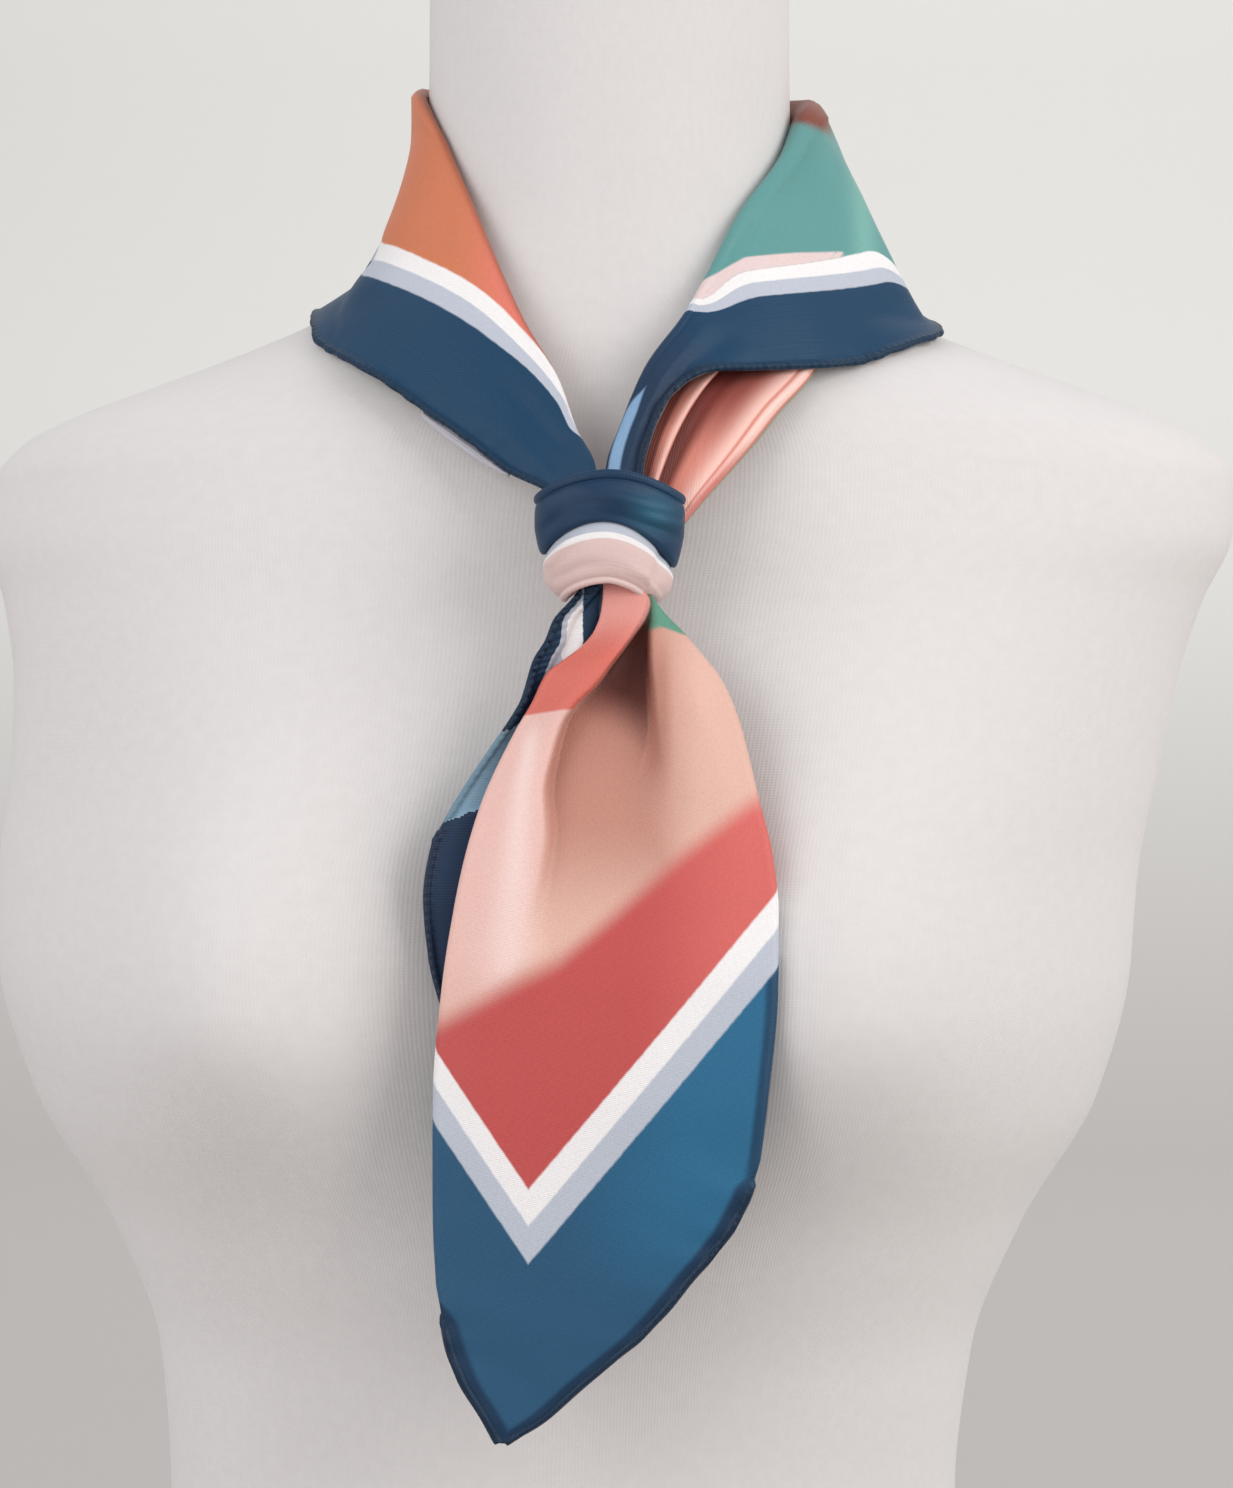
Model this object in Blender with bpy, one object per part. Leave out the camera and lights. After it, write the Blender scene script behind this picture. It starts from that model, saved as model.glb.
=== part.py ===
"""A silk square scarf, tied with one knot at the neck of a limbless dress form.

+Z is up, the chest faces -Y, and the form stands on its flat base at z = 0. The tables are in
millimetres, measured from the neck's axis. The scarf's own tables are drawn square to the knot,
and the whole scarf is then turned round the neck by SCARF_TURN, as it was put on.
"""
import math
from collections import namedtuple

import bmesh
import bpy
import numpy as np

MM = 0.001
CLOTH = 1.2            # wall of every scarf stretch
SEAM_GAP = 0.3         # between two stretches of the one cloth
LAY_GAP = 1.6          # from the form to the middle of a wall that lies on it
HEM_LIFT = 1.2         # of a fall's hem over the layers below it
SCARF_TURN = 3.0       # degrees, towards the form's left
SECTION_PITCH = 24.0   # between two sections at the ends of a wing
CLEARING_PASSES = 8    # each moves cloth that is too near the form further out
LONGEST_PASS = 12.0
SLOPE_NUDGE = 0.2      # either side of a point, to measure the form's slope there

# ---------------------------------------------------------------- dress form

FORM_AROUND = 56
BUST_OUT = 98.0        # each side of the centre front
BUST_HEIGHT = 332.0
BUST_RISE = 48.0
BUST_SPREAD = 46.0     # sideways
BUST_ABOVE = 62.0      # upper slope
BUST_BELOW = 38.0      # under side
ROUNDNESS = 2.25       # exponent of the torso's section, 2 is an ellipse
NECK_CAP_RISE = 4.0

FormRing = namedtuple("FormRing", "height half_width front back sway")
FORM_RINGS = (
    FormRing(0, 152, 98, 104, -14),
    FormRing(12, 156, 101, 107, -14),
    FormRing(50, 161, 104, 110, -14),
    FormRing(95, 152, 100, 106, -14),
    FormRing(140, 129, 92, 92, -14),
    FormRing(180, 117, 87, 82, -14),
    FormRing(225, 121, 92, 82, -13),
    FormRing(262, 135, 99, 88, -12.5),
    FormRing(300, 158, 101, 94, -13),
    FormRing(340, 169, 99, 99, -14),
    FormRing(365, 170, 95, 103, -13),
    FormRing(391, 171, 90, 105, -9),
    FormRing(423, 174, 84, 106, -5),
    FormRing(445, 179, 79, 105, -3),
    FormRing(465, 186, 75, 100, -1),
    FormRing(482, 185, 71, 92, 0),
    FormRing(493, 176, 68, 85, 0),
    FormRing(501, 160, 65, 79, 0),
    FormRing(509, 138, 62, 74, 0),
    FormRing(518, 113, 60, 69, 0),
    FormRing(528, 89, 58, 64, 0),
    FormRing(542, 68, 56, 60, 0),
    FormRing(560, 57.5, 54.5, 57, 0),
    FormRing(590, 54, 54, 56, 0),
    FormRing(643, 53.5, 54, 56, 0),
    FormRing(650, 52, 52.5, 54.5, 0),
)
FORM_LEVELS = (
    0, 12, 35, 65, 95, 120, 140, 160, 180, 205, 225, 245, 262, 278, 292, 304, 316, 328, 340, 354,
    368, 382, 396, 410, 425, 440, 453, 465, 475, 483, 489, 495, 500, 505, 510, 515, 520, 526, 533,
    542, 551, 562, 576, 592, 618, 643, 650,
)

# ---------------------------------------------------------------- scarf round the neck

# One row a section: where the cloth folds over at the top, where its hem lies, how far the fall
# sags towards the form, the radius of the fold and the length of the layer inside it.
Section = namedtuple("Section", "fold_x fold_y fold_z hem_x hem_y hem_z sag roll stand")
LEFT_SECTIONS = (
    Section(-3.0, -100, 472.0, -14.0, -99, 468.5, 0, 1.6, 5),
    Section(-4.2, -95, 480.0, -18.3, -95, 472.8, 0, 1.8, 6),
    Section(-9.3, -85, 490.4, -27.5, -88, 477.5, -1, 2.0, 8),
    Section(-14.4, -77, 505.0, -39.2, -81, 486.7, -2, 2.2, 10),
    Section(-23.4, -67, 522.3, -52.0, -73, 496.0, -3, 2.2, 14),
    Section(-36.9, -50, 558.0, -65.3, -65, 505.8, 2, 2.2, 22),
    Section(-48.0, -31, 582.0, -77.0, -54, 513.0, 6, 2.2, 28),
    Section(-54.5, -11, 596.0, -85.0, -38, 519.0, 12, 2.3, 32),
    Section(-56.5, 9, 601.0, -85.5, -8, 527.0, 15, 2.4, 34),
)
BACK_SECTIONS = (
    Section(-56.5, 9, 601.0, -85.5, -8, 527.0, 15, 2.4, 34),
    Section(-52.5, 30, 604.0, -80.0, 30, 531.0, 14, 2.6, 35),
    Section(-38.0, 50, 606.0, -68.0, 64, 519.0, 11, 2.8, 36),
    Section(-19.0, 61, 607.0, -36.0, 86, 500.0, 9, 3.0, 36),
    Section(0.0, 64, 607.0, 0.0, 100, 480.0, 8, 3.0, 36),
    Section(19.0, 62, 606.0, 36.0, 86, 500.0, 8, 3.4, 36),
    Section(38.0, 51, 604.0, 70.0, 64, 519.0, 7, 4.0, 35),
    Section(54.0, 30, 601.0, 85.0, 30, 530.0, 4, 4.8, 34),
    Section(59.5, 8, 597.5, 93.0, -6, 526.0, 3, 5.4, 32),
)
RIGHT_SECTIONS = (
    Section(59.5, 8, 597.5, 93.0, -6, 526.0, 3, 5.4, 32),
    Section(57.5, -14, 591.0, 95.5, -34, 519.5, 1, 4.6, 28),
    Section(48.5, -34, 573.0, 80.0, -54, 512.5, -2, 3.2, 20),
    Section(36.5, -52, 553.0, 62.0, -67, 509.0, -4, 2.6, 14),
    Section(27.9, -62, 536.0, 44.0, -75, 507.5, -3, 2.2, 10),
    Section(20.9, -70, 523.5, 28.5, -80, 506.5, -2, 2.0, 7),
    Section(11.5, -80, 508.0, 18.0, -86, 500.0, -1, 1.8, 5),
    Section(5.0, -88, 491.0, 12.0, -91, 488.5, 0, 1.6, 4),
    Section(2.0, -95, 480.5, 9.6, -97, 479.5, 0, 1.6, 4),
    Section(1.4, -99, 471.5, 8.6, -101, 470.5, 0, 1.5, 4),
)

COLLAR_STEPS = 3       # sections drawn for each table row
STAND_STEPS = 3        # up the layer inside
ROLL_STEPS = 4         # over the fold
FALL_STEPS = 7         # down the outside

# The pleated layer that shows below the right wing: its two edges, and the depth of its pleats.
Pleated = namedtuple("Pleated", "inner_x inner_y inner_z outer_x outer_y outer_z pleat")
UNDER_SECTIONS = (
    Pleated(10.6, -98, 470.5, 15.6, -97, 469.5, 0.2),
    Pleated(12.6, -92, 481.0, 19.0, -93, 475.0, 0.8),
    Pleated(16.5, -83, 493.0, 33.0, -83, 478.5, 1.8),
    Pleated(22.0, -76, 503.0, 45.5, -75, 488.5, 2.2),
    Pleated(28.0, -69, 511.0, 55.0, -68, 499.5, 1.8),
    Pleated(33.0, -64.5, 518.0, 61.5, -61.5, 509.0, 0.8),
)
UNDER_PLEATS = 2.5
UNDER_ALONG = 12
UNDER_ACROSS = 16

# A second hem that shows as a thin pale line under the left wing's, near the knot.
SLIVER_SHOWS = 1.8
SLIVER_WIDTH = 11.0
SLIVER_SECTIONS = (2, 3, 4)
SLIVER_WALL = 0.9
SLIVER_LAY_GAP = 1.0
SLIVER_BEHIND = 2.4    # the wing's hem
SLIVER_ALONG = 9
SLIVER_ACROSS = 4

# ---------------------------------------------------------------- knot

KNOT_Y = -101.0
BAND_WALL = 1.6
BandRing = namedtuple("BandRing", "height half_width half_depth lift")
BAND_RINGS = (
    BandRing(440.6, 11.6, 10.4, -1.0),
    BandRing(443.5, 12.6, 11.2, -0.6),
    BandRing(449.0, 14.8, 12.6, 0.4),
    BandRing(456.0, 17.4, 13.6, 2.4),
    BandRing(463.0, 19.3, 13.8, 4.4),
    BandRing(468.0, 20.0, 13.4, 6.0),
    BandRing(470.2, 19.4, 12.8, 6.4),
)
BAND_AROUND = 28
BAND_LEVELS = 9
CORE_CLEARANCE = 1.0
CORE_LOW = 447.0
CORE_HIGH = 464.5
CORE_LEVELS = 5

# ---------------------------------------------------------------- tails

# Edges across, the middle's depth, how far the right edge stands forward, how far each side is
# folded back behind, and the relief of the soft ridge (left) and of the hollow and the lobe
# (right) that the knot gathers.
TailRow = namedtuple("TailRow", "height left right depth tilt back_left back_right ridge hollow")
FRONT_TAIL = (
    TailRow(444.0, -4.5, 5.5, -105.0, 0, 1.0, 1.0, 0.4, 0.3),
    TailRow(438.8, -5.8, 6.4, -106.4, 0, 1.4, 1.4, 0.8, 0.6),
    TailRow(431.0, -8.0, 17.6, -110.5, 0, 6, 7, 3.2, 2.6),
    TailRow(420.0, -15.6, 29.0, -114.0, 1, 11, 13, 4.6, 4.6),
    TailRow(406.0, -24.5, 33.8, -118.0, 2, 16, 18, 4.4, 4.4),
    TailRow(388.0, -32.4, 38.6, -123.5, 3, 21, 23, 3.6, 2.8),
    TailRow(373.5, -36.8, 42.7, -128.0, 4, 24, 26, 2.8, 1.8),
    TailRow(359.0, -39.8, 43.4, -131.5, 5, 26, 27, 2.2, 1.2),
    TailRow(337.0, -43.0, 43.0, -135.5, 7, 27, 24, 1.4, 0.8),
    TailRow(310.0, -45.1, 40.4, -137.0, 7, 24, 14, 1.0, 0.6),
    TailRow(286.0, -45.2, 37.0, -136.0, 5, 18, 2.0, 0.8, 0.6),
    TailRow(276.0, -45.1, 32.5, -135.5, 4, 14, 1.0, 0.6, 0.5),
    TailRow(262.0, -44.4, 21.5, -134.5, 3, 8, 1.0, 0.5, 0.4),
    TailRow(248.0, -43.2, 9.5, -133.5, 2, 1.5, 1.0, 0.4, 0.3),
    TailRow(236.0, -39.5, -3.0, -133.0, 1, 1.0, 1.0, 0.2, 0.2),
    TailRow(226.0, -33.6, -14.0, -132.5, 0, 1.0, 1.0, 0.1, 0.1),
    TailRow(218.4, -28.8, -25.0, -132.0, 0, 0.6, 0.6, 0.0, 0.0),
)
TAIL_LEVELS = 27
TAIL_FRONT_STEPS = 14
TAIL_BOW = 2.0         # of the sides behind the middle, on a tail FULL_WIDTH wide
FULL_WIDTH = 80.0
TAIL_TURN = 2.2        # radius of the side folds, or TURN_SHARE of a narrow width
TURN_SHARE = 0.125
FLAP_REACH = (1.0, 0.6, 0.2)
# The relief's waves across the front: where each is and its half width, as shares of the width.
RIDGE_AT, RIDGE_WIDE = 0.30, 0.10
HOLLOW_AT, HOLLOW_WIDE = 0.56, 0.09
LOBE_AT, LOBE_WIDE = 0.78, 0.13
LOBE_SHARE = 0.8       # of the hollow's depth
BackRow = namedtuple("BackRow", "height left right depth curl")
BACK_TAIL = (
    BackRow(444.0, -7.0, -1.0, -98.5, 0.2),
    BackRow(437.0, -13.0, 1.0, -99.5, 0.8),
    BackRow(422.5, -22.5, 4.0, -102.0, 1.6),
    BackRow(407.0, -26.6, 8.0, -106.0, 1.8),
    BackRow(398.5, -30.5, 10.0, -108.5, 1.6),
    BackRow(386.0, -40.5, 12.0, -112.0, 1.2),
    BackRow(375.0, -47.4, 12.0, -114.5, 0.8),
    BackRow(362.0, -49.6, 8.0, -117.0, 0.6),
    BackRow(346.0, -48.2, 0.0, -119.0, 0.4),
    BackRow(332.0, -44.6, -14.0, -120.0, 0.2),
    BackRow(318.0, -38.6, -28.0, -120.5, 0.0),
    BackRow(311.0, -35.5, -33.5, -120.5, 0.0),
)

BACK_LEVELS = 19
BACK_ACROSS = 9
BACK_WAVES = 1.5

COLOURS = {
    "dress_form": (0.66, 0.63, 0.60),
    "left_wing": (0.62, 0.21, 0.08),
    "right_wing": (0.12, 0.36, 0.28),
    "back_point": (0.02, 0.07, 0.14),
    "right_under_fold": (0.72, 0.28, 0.22),
    "left_under_hem": (0.74, 0.60, 0.60),
    "knot_band": (0.02, 0.07, 0.14),
    "knot_core": (0.60, 0.30, 0.24),
    "front_tail": (0.60, 0.24, 0.20),
    "back_tail": (0.02, 0.07, 0.14),
}


# ---------------------------------------------------------------- shared curves

def eased(keys, rows, at):
    """Read a table at `at` by a monotone cubic, which never overshoots its rows."""
    keys = np.asarray(keys, float)
    rows = np.asarray(rows, float).reshape(len(keys), -1)
    spans = np.diff(keys)[:, None]
    slopes = np.diff(rows, axis=0) / spans
    same_way = slopes[:-1] * slopes[1:] > 0
    mean = 2 * slopes[:-1] * slopes[1:] / np.where(same_way, slopes[:-1] + slopes[1:], 1)
    tangents = np.vstack([slopes[:1], np.where(same_way, mean, 0), slopes[-1:]])
    at = np.clip(np.atleast_1d(np.asarray(at, float)), keys[0], keys[-1])
    index = np.clip(np.searchsorted(keys, at, side="right") - 1, 0, len(keys) - 2)
    span = spans[index]
    t = ((at - keys[index]) / span[:, 0])[:, None]
    start = (1 + 2 * t) * (1 - t) ** 2 * rows[index] + t * (1 - t) ** 2 * span * tangents[index]
    end = t * t * (3 - 2 * t) * rows[index + 1] + t * t * (t - 1) * span * tangents[index + 1]
    return start + end


def unit(vectors):
    """Vectors of length 1 along the last axis."""
    return vectors / np.maximum(np.linalg.norm(vectors, axis=-1, keepdims=True), 1e-9)


# ---------------------------------------------------------------- form surface

def form_sizes(height):
    """Half width, front and back depths and sideways sway of the form at each height."""
    keys = [ring.height for ring in FORM_RINGS]
    rows = [ring[1:] for ring in FORM_RINGS]
    flat = eased(keys, rows, np.ravel(height))
    return [column.reshape(np.shape(height)) for column in flat.T]


def bust_swell(x, height, half_width):
    """How far the bust stands out past the torso's plain section."""
    below = np.asarray(height) < BUST_HEIGHT
    reach = np.where(below, BUST_BELOW, BUST_ABOVE)
    rise = np.exp(-((height - BUST_HEIGHT) ** 2) / (2 * reach**2))
    spread = sum(np.exp(-((x - side * BUST_OUT) ** 2) / (2 * BUST_SPREAD**2)) for side in (-1, 1))
    return BUST_RISE * rise * spread * np.clip(1 - np.abs(x / half_width) ** 4, 0, 1)


def form_level(point):
    """Under 1 inside the form, 1 on its surface and over 1 outside."""
    x, y, height = point[..., 0], point[..., 1], point[..., 2]
    half_width, front, back, sway = form_sizes(height)
    x = x - sway
    y = np.where(y < 0, np.minimum(y + bust_swell(x, height, half_width), 0), y)
    depth = np.where(y < 0, front, back)
    level = np.abs(x / half_width) ** ROUNDNESS + np.abs(y / depth) ** ROUNDNESS
    return level ** (1 / ROUNDNESS)


def clear_of_form(points, gap):
    """Move each point out along the form's slope until it is `gap` from the surface."""
    points = np.array(points, float)
    nudge = SLOPE_NUDGE
    for _ in range(CLEARING_PASSES):
        level = form_level(points)
        slope = np.stack([
            (form_level(points + nudge * axis) - form_level(points - nudge * axis)) / (2 * nudge)
            for axis in np.eye(3)
        ], axis=-1)
        steepness = np.linalg.norm(slope, axis=-1) + 1e-9
        short = np.clip(gap - (level - 1) / steepness, 0, LONGEST_PASS)
        points += slope / steepness[..., None] * short[..., None]
    return points


# ---------------------------------------------------------------- solids

def finish(name, mesh_data):
    """Turn a bmesh in millimetres into one named object in metres, with its own material."""
    bmesh.ops.recalc_face_normals(mesh_data, faces=mesh_data.faces)
    mesh = bpy.data.meshes.new(name)
    mesh_data.to_mesh(mesh)
    mesh_data.free()
    mesh.shade_smooth()
    material = bpy.data.materials.new(name + "_finish")
    material.use_nodes = True
    shader = material.node_tree.nodes["Principled BSDF"]
    shader.inputs["Base Color"].default_value = (*COLOURS[name], 1)
    shader.inputs["Roughness"].default_value = 0.85 if name == "dress_form" else 0.4
    shader.inputs["Metallic"].default_value = 0
    mesh.materials.append(material)
    piece = bpy.data.objects.new(name, mesh)
    bpy.context.collection.objects.link(piece)
    return piece


def stack(name, rings, ends_rise=(0, 0)):
    """A solid through closed rings, lowest first, each end closed on a middle point."""
    mesh_data = bmesh.new()
    loops = [[mesh_data.verts.new(point) for point in ring] for ring in rings]
    around = len(loops[0])
    for lower, upper in zip(loops, loops[1:]):
        for k in range(around):
            following = (k + 1) % around
            mesh_data.faces.new((lower[k], lower[following], upper[following], upper[k]))
    for loop, ring, rise in ((loops[0], rings[0], ends_rise[0]), (loops[-1], rings[-1], ends_rise[1])):
        middle = mesh_data.verts.new(np.mean(ring, axis=0) + (0, 0, rise))
        for k in range(around):
            mesh_data.faces.new((loop[k], loop[(k + 1) % around], middle))
    return finish(name, mesh_data)


def wall(name, middle, thickness=CLOTH, closed=False):
    """A cloth wall on a grid of middle points, joined round its columns if `closed`."""
    middle = np.asarray(middle, float)
    if closed:
        around = np.roll(middle, -1, axis=1) - np.roll(middle, 1, axis=1)
    else:
        around = np.gradient(middle, axis=1)
    normals = unit(np.cross(np.gradient(middle, axis=0), around))
    sides = (middle - normals * thickness / 2, middle + normals * thickness / 2)
    mesh_data = bmesh.new()
    inner, outer = ([[mesh_data.verts.new(p) for p in row] for row in side] for side in sides)
    rows, columns = middle.shape[:2]
    steps = columns if closed else columns - 1
    for i in range(rows - 1):
        for k in range(steps):
            n = (k + 1) % columns
            mesh_data.faces.new((outer[i][k], outer[i][n], outer[i + 1][n], outer[i + 1][k]))
            mesh_data.faces.new((inner[i][k], inner[i + 1][k], inner[i + 1][n], inner[i][n]))
    for i in (0, rows - 1):
        for k in range(steps):
            n = (k + 1) % columns
            mesh_data.faces.new((inner[i][k], inner[i][n], outer[i][n], outer[i][k]))
    if not closed:
        for k in (0, columns - 1):
            for i in range(rows - 1):
                mesh_data.faces.new((inner[i][k], inner[i + 1][k], outer[i + 1][k], outer[i][k]))
    return finish(name, mesh_data)


# ---------------------------------------------------------------- pieces

def build_dress_form():
    """The torso and neck, from horizontal rings with the bust swelled forward."""
    angles = np.arange(FORM_AROUND) * 2 * math.pi / FORM_AROUND
    rings = []
    for height in FORM_LEVELS:
        half_width, front, back, sway = (float(size) for size in form_sizes(float(height)))
        across = np.sign(np.cos(angles)) * np.abs(np.cos(angles)) ** (2 / ROUNDNESS)
        along = np.sign(np.sin(angles)) * np.abs(np.sin(angles)) ** (2 / ROUNDNESS)
        x = half_width * across
        y = np.where(along < 0, front, back) * along
        y = y - np.where(along < 0, bust_swell(x, height, half_width), 0)
        rings.append(np.column_stack([x + sway, y, np.full_like(x, height)]))
    return stack("dress_form", rings, ends_rise=(0, NECK_CAP_RISE))


def turned(points):
    """The scarf's own frame, turned round the neck's axis."""
    angle = math.radians(SCARF_TURN)
    spin = np.array([
        [math.cos(angle), math.sin(angle), 0],
        [-math.sin(angle), math.cos(angle), 0],
        [0, 0, 1],
    ])
    return np.asarray(points) @ spin


def section_line(section):
    """One section of the folded collar: up the layer inside, over the roll and down the fall."""
    fold = np.array(section[0:3])
    hem = np.array(section[3:6])
    sag, roll, stand = section[6:9]
    out = unit(np.array([fold[0], fold[1], 0]))
    down = unit(hem - fold)
    inner_down = unit(down - out * (down @ out))
    turn_middle = fold + inner_down * roll
    inside = turn_middle - out * roll
    outside = turn_middle + out * roll
    points = [inside + inner_down * stand * (1 - k / STAND_STEPS) for k in range(STAND_STEPS)]
    for k in range(ROLL_STEPS + 1):
        angle = math.pi * k / ROLL_STEPS
        points.append(turn_middle - out * roll * math.cos(angle) - inner_down * roll * math.sin(angle))
    inward = unit(down * (down @ out) - out)
    control = (outside + hem) / 2 + inward * sag
    for k in range(1, FALL_STEPS + 1):
        t = k / FALL_STEPS
        points.append((1 - t) ** 2 * outside + 2 * t * (1 - t) * control + t * t * hem)
    return np.array(points)


def build_collar(name, sections, trim):
    """A folded stretch of the scarf round the neck, drawn back by `trim` table rows at its ends."""
    count = (len(sections) - 1) * COLLAR_STEPS + 1
    places = np.linspace(trim[0], len(sections) - 1 - trim[1], count)
    rows = eased(range(len(sections)), sections, places)
    grid = turned([section_line(row) for row in rows])
    lines = grid.shape[1]
    fall_start = STAND_STEPS + ROLL_STEPS
    outer = np.clip((np.arange(lines) - STAND_STEPS) / ROLL_STEPS, 0, 1)
    towards_hem = np.clip((np.arange(lines) - fall_start) / FALL_STEPS, 0, 1)
    above_stand = 2 * rows[:, 7:8] * (1 - towards_hem) + HEM_LIFT * towards_hem
    layer_gap = LAY_GAP + outer * above_stand
    return wall(name, clear_of_form(grid, layer_gap))


def build_under_fold():
    """The pleated layer below the right wing."""
    places = np.linspace(0, len(UNDER_SECTIONS) - 1, UNDER_ALONG)
    rows = eased(range(len(UNDER_SECTIONS)), UNDER_SECTIONS, places)
    across = np.linspace(0, 1, UNDER_ACROSS)[None, :, None]
    grid = rows[:, None, 0:3] * (1 - across) + rows[:, None, 3:6] * across
    wave = np.sin(across[..., 0] * 2 * math.pi * UNDER_PLEATS) * rows[:, None, 6]
    grid[..., 1] -= wave
    return wall("right_under_fold", clear_of_form(turned(grid), LAY_GAP))


def build_under_hem():
    """The narrow strip under the left wing's hem."""
    chosen = [LEFT_SECTIONS[index] for index in SLIVER_SECTIONS]
    rows = eased(range(len(chosen)), chosen, np.linspace(0, len(chosen) - 1, SLIVER_ALONG))
    fold, hem = rows[:, 0:3], rows[:, 3:6]
    down = unit(hem - fold)
    across = np.linspace(-SLIVER_WIDTH, SLIVER_SHOWS, SLIVER_ACROSS)
    grid = hem[:, None, :] + down[:, None, :] * across[None, :, None]
    grid[..., 1] += SLIVER_BEHIND
    return wall("left_under_hem", clear_of_form(turned(grid), SLIVER_LAY_GAP), thickness=SLIVER_WALL)


def band_ring(ring, shrink=0.0, height=None):
    """One turn of the knot's band: an ellipse whose front is lifted."""
    angles = np.arange(BAND_AROUND) * 2 * math.pi / BAND_AROUND
    x = (ring[1] - shrink) * np.cos(angles)
    y = (ring[2] - shrink) * np.sin(angles)
    frontness = np.clip(-np.sin(angles), 0, 1) ** 2
    z = ring[0] + ring[3] * frontness if height is None else np.full_like(x, height)
    return np.column_stack([x, y + KNOT_Y, z])


def build_knot():
    """The band that wraps the gathered cloth, and the gathered layers inside it as one solid."""
    keys = [ring.height for ring in BAND_RINGS]
    heights = np.linspace(keys[0], keys[-1], BAND_LEVELS)
    rings = [band_ring(row) for row in eased(keys, BAND_RINGS, heights)]
    wall("knot_band", turned(rings), thickness=BAND_WALL, closed=True)
    inset = BAND_WALL / 2 + CORE_CLEARANCE
    core_heights = np.linspace(CORE_LOW, CORE_HIGH, CORE_LEVELS)
    core = [
        turned(band_ring(row, shrink=inset, height=row[0]))
        for row in eased(keys, BAND_RINGS, core_heights)
    ]
    stack("knot_core", core)


def wave(across, at, wide):
    """A soft wave, 1 high, across the tail."""
    return np.exp(-(((across - at) / wide) ** 2))


def tail_line(row):
    """One level of the front tail: folded back at both sides, with a ridge and a hollow."""
    height, left, right, depth, tilt, back_left, back_right, ridge, hollow = row
    width = right - left
    turn = min(TAIL_TURN, width * TURN_SHARE)
    across = np.linspace(0, 1, TAIL_FRONT_STEPS + 1)
    x = left + width * across
    bow = TAIL_BOW * min(width / FULL_WIDTH, 1) * (2 * across - 1) ** 2
    soft_ridge = ridge * wave(across, RIDGE_AT, RIDGE_WIDE)
    soft_hollow = hollow * wave(across, HOLLOW_AT, HOLLOW_WIDE)
    lobe = LOBE_SHARE * hollow * wave(across, LOBE_AT, LOBE_WIDE)
    y = depth + bow - tilt * (across - 0.5) - soft_ridge + soft_hollow - lobe
    front = np.column_stack([x, y, np.full_like(x, height)])
    back_y = 2 * turn
    left_flap = [(left + turn * 0.4 + back_left * k, y[0] + back_y, height) for k in FLAP_REACH]
    right_flap = [(right - turn * 0.4 - back_right * k, y[-1] + back_y, height) for k in FLAP_REACH[::-1]]
    left_turn = [(left - turn * 0.5, y[0] + turn, height)]
    right_turn = [(right + turn * 0.5, y[-1] + turn, height)]
    return np.array([*left_flap, *left_turn, *front, *right_turn, *right_flap])


def build_front_tail():
    """The long corner of the square that hangs in front."""
    keys = [-row.height for row in FRONT_TAIL]
    heights = np.linspace(keys[0], keys[-1], TAIL_LEVELS)
    rows = eased(keys, FRONT_TAIL, heights)
    return wall("front_tail", turned([tail_line(row) for row in rows]))


def build_back_tail():
    """The corner that hangs behind, out to the left of the front one."""
    keys = [-row.height for row in BACK_TAIL]
    heights = np.linspace(keys[0], keys[-1], BACK_LEVELS)
    rows = eased(keys, BACK_TAIL, heights)
    across = np.linspace(0, 1, BACK_ACROSS)
    grid = []
    for height, left, right, depth, curl in rows:
        x = left + (right - left) * across
        y = depth - curl * np.cos(across * 2 * math.pi * BACK_WAVES)
        grid.append(np.column_stack([x, y, np.full_like(x, height)]))
    return wall("back_tail", clear_of_form(turned(grid), LAY_GAP))


def main():
    for old in list(bpy.data.objects):
        bpy.data.objects.remove(old)
    build_dress_form()
    trim = SEAM_GAP / SECTION_PITCH
    build_collar("left_wing", LEFT_SECTIONS, trim=(0, trim))
    build_collar("back_point", BACK_SECTIONS, trim=(trim, trim))
    build_collar("right_wing", RIGHT_SECTIONS, trim=(trim, 0))
    build_under_fold()
    build_under_hem()
    build_knot()
    build_front_tail()
    build_back_tail()
    pieces = list(bpy.data.objects)
    reach = np.array([vertex.co for piece in pieces for vertex in piece.data.vertices])
    middle = (reach.min(axis=0) + reach.max(axis=0)) / 2
    for piece in pieces:
        for vertex in piece.data.vertices:
            vertex.co.x = (vertex.co.x - middle[0]) * MM
            vertex.co.y = (vertex.co.y - middle[1]) * MM
            vertex.co.z *= MM


main()
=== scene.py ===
import math
from collections import namedtuple

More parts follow.
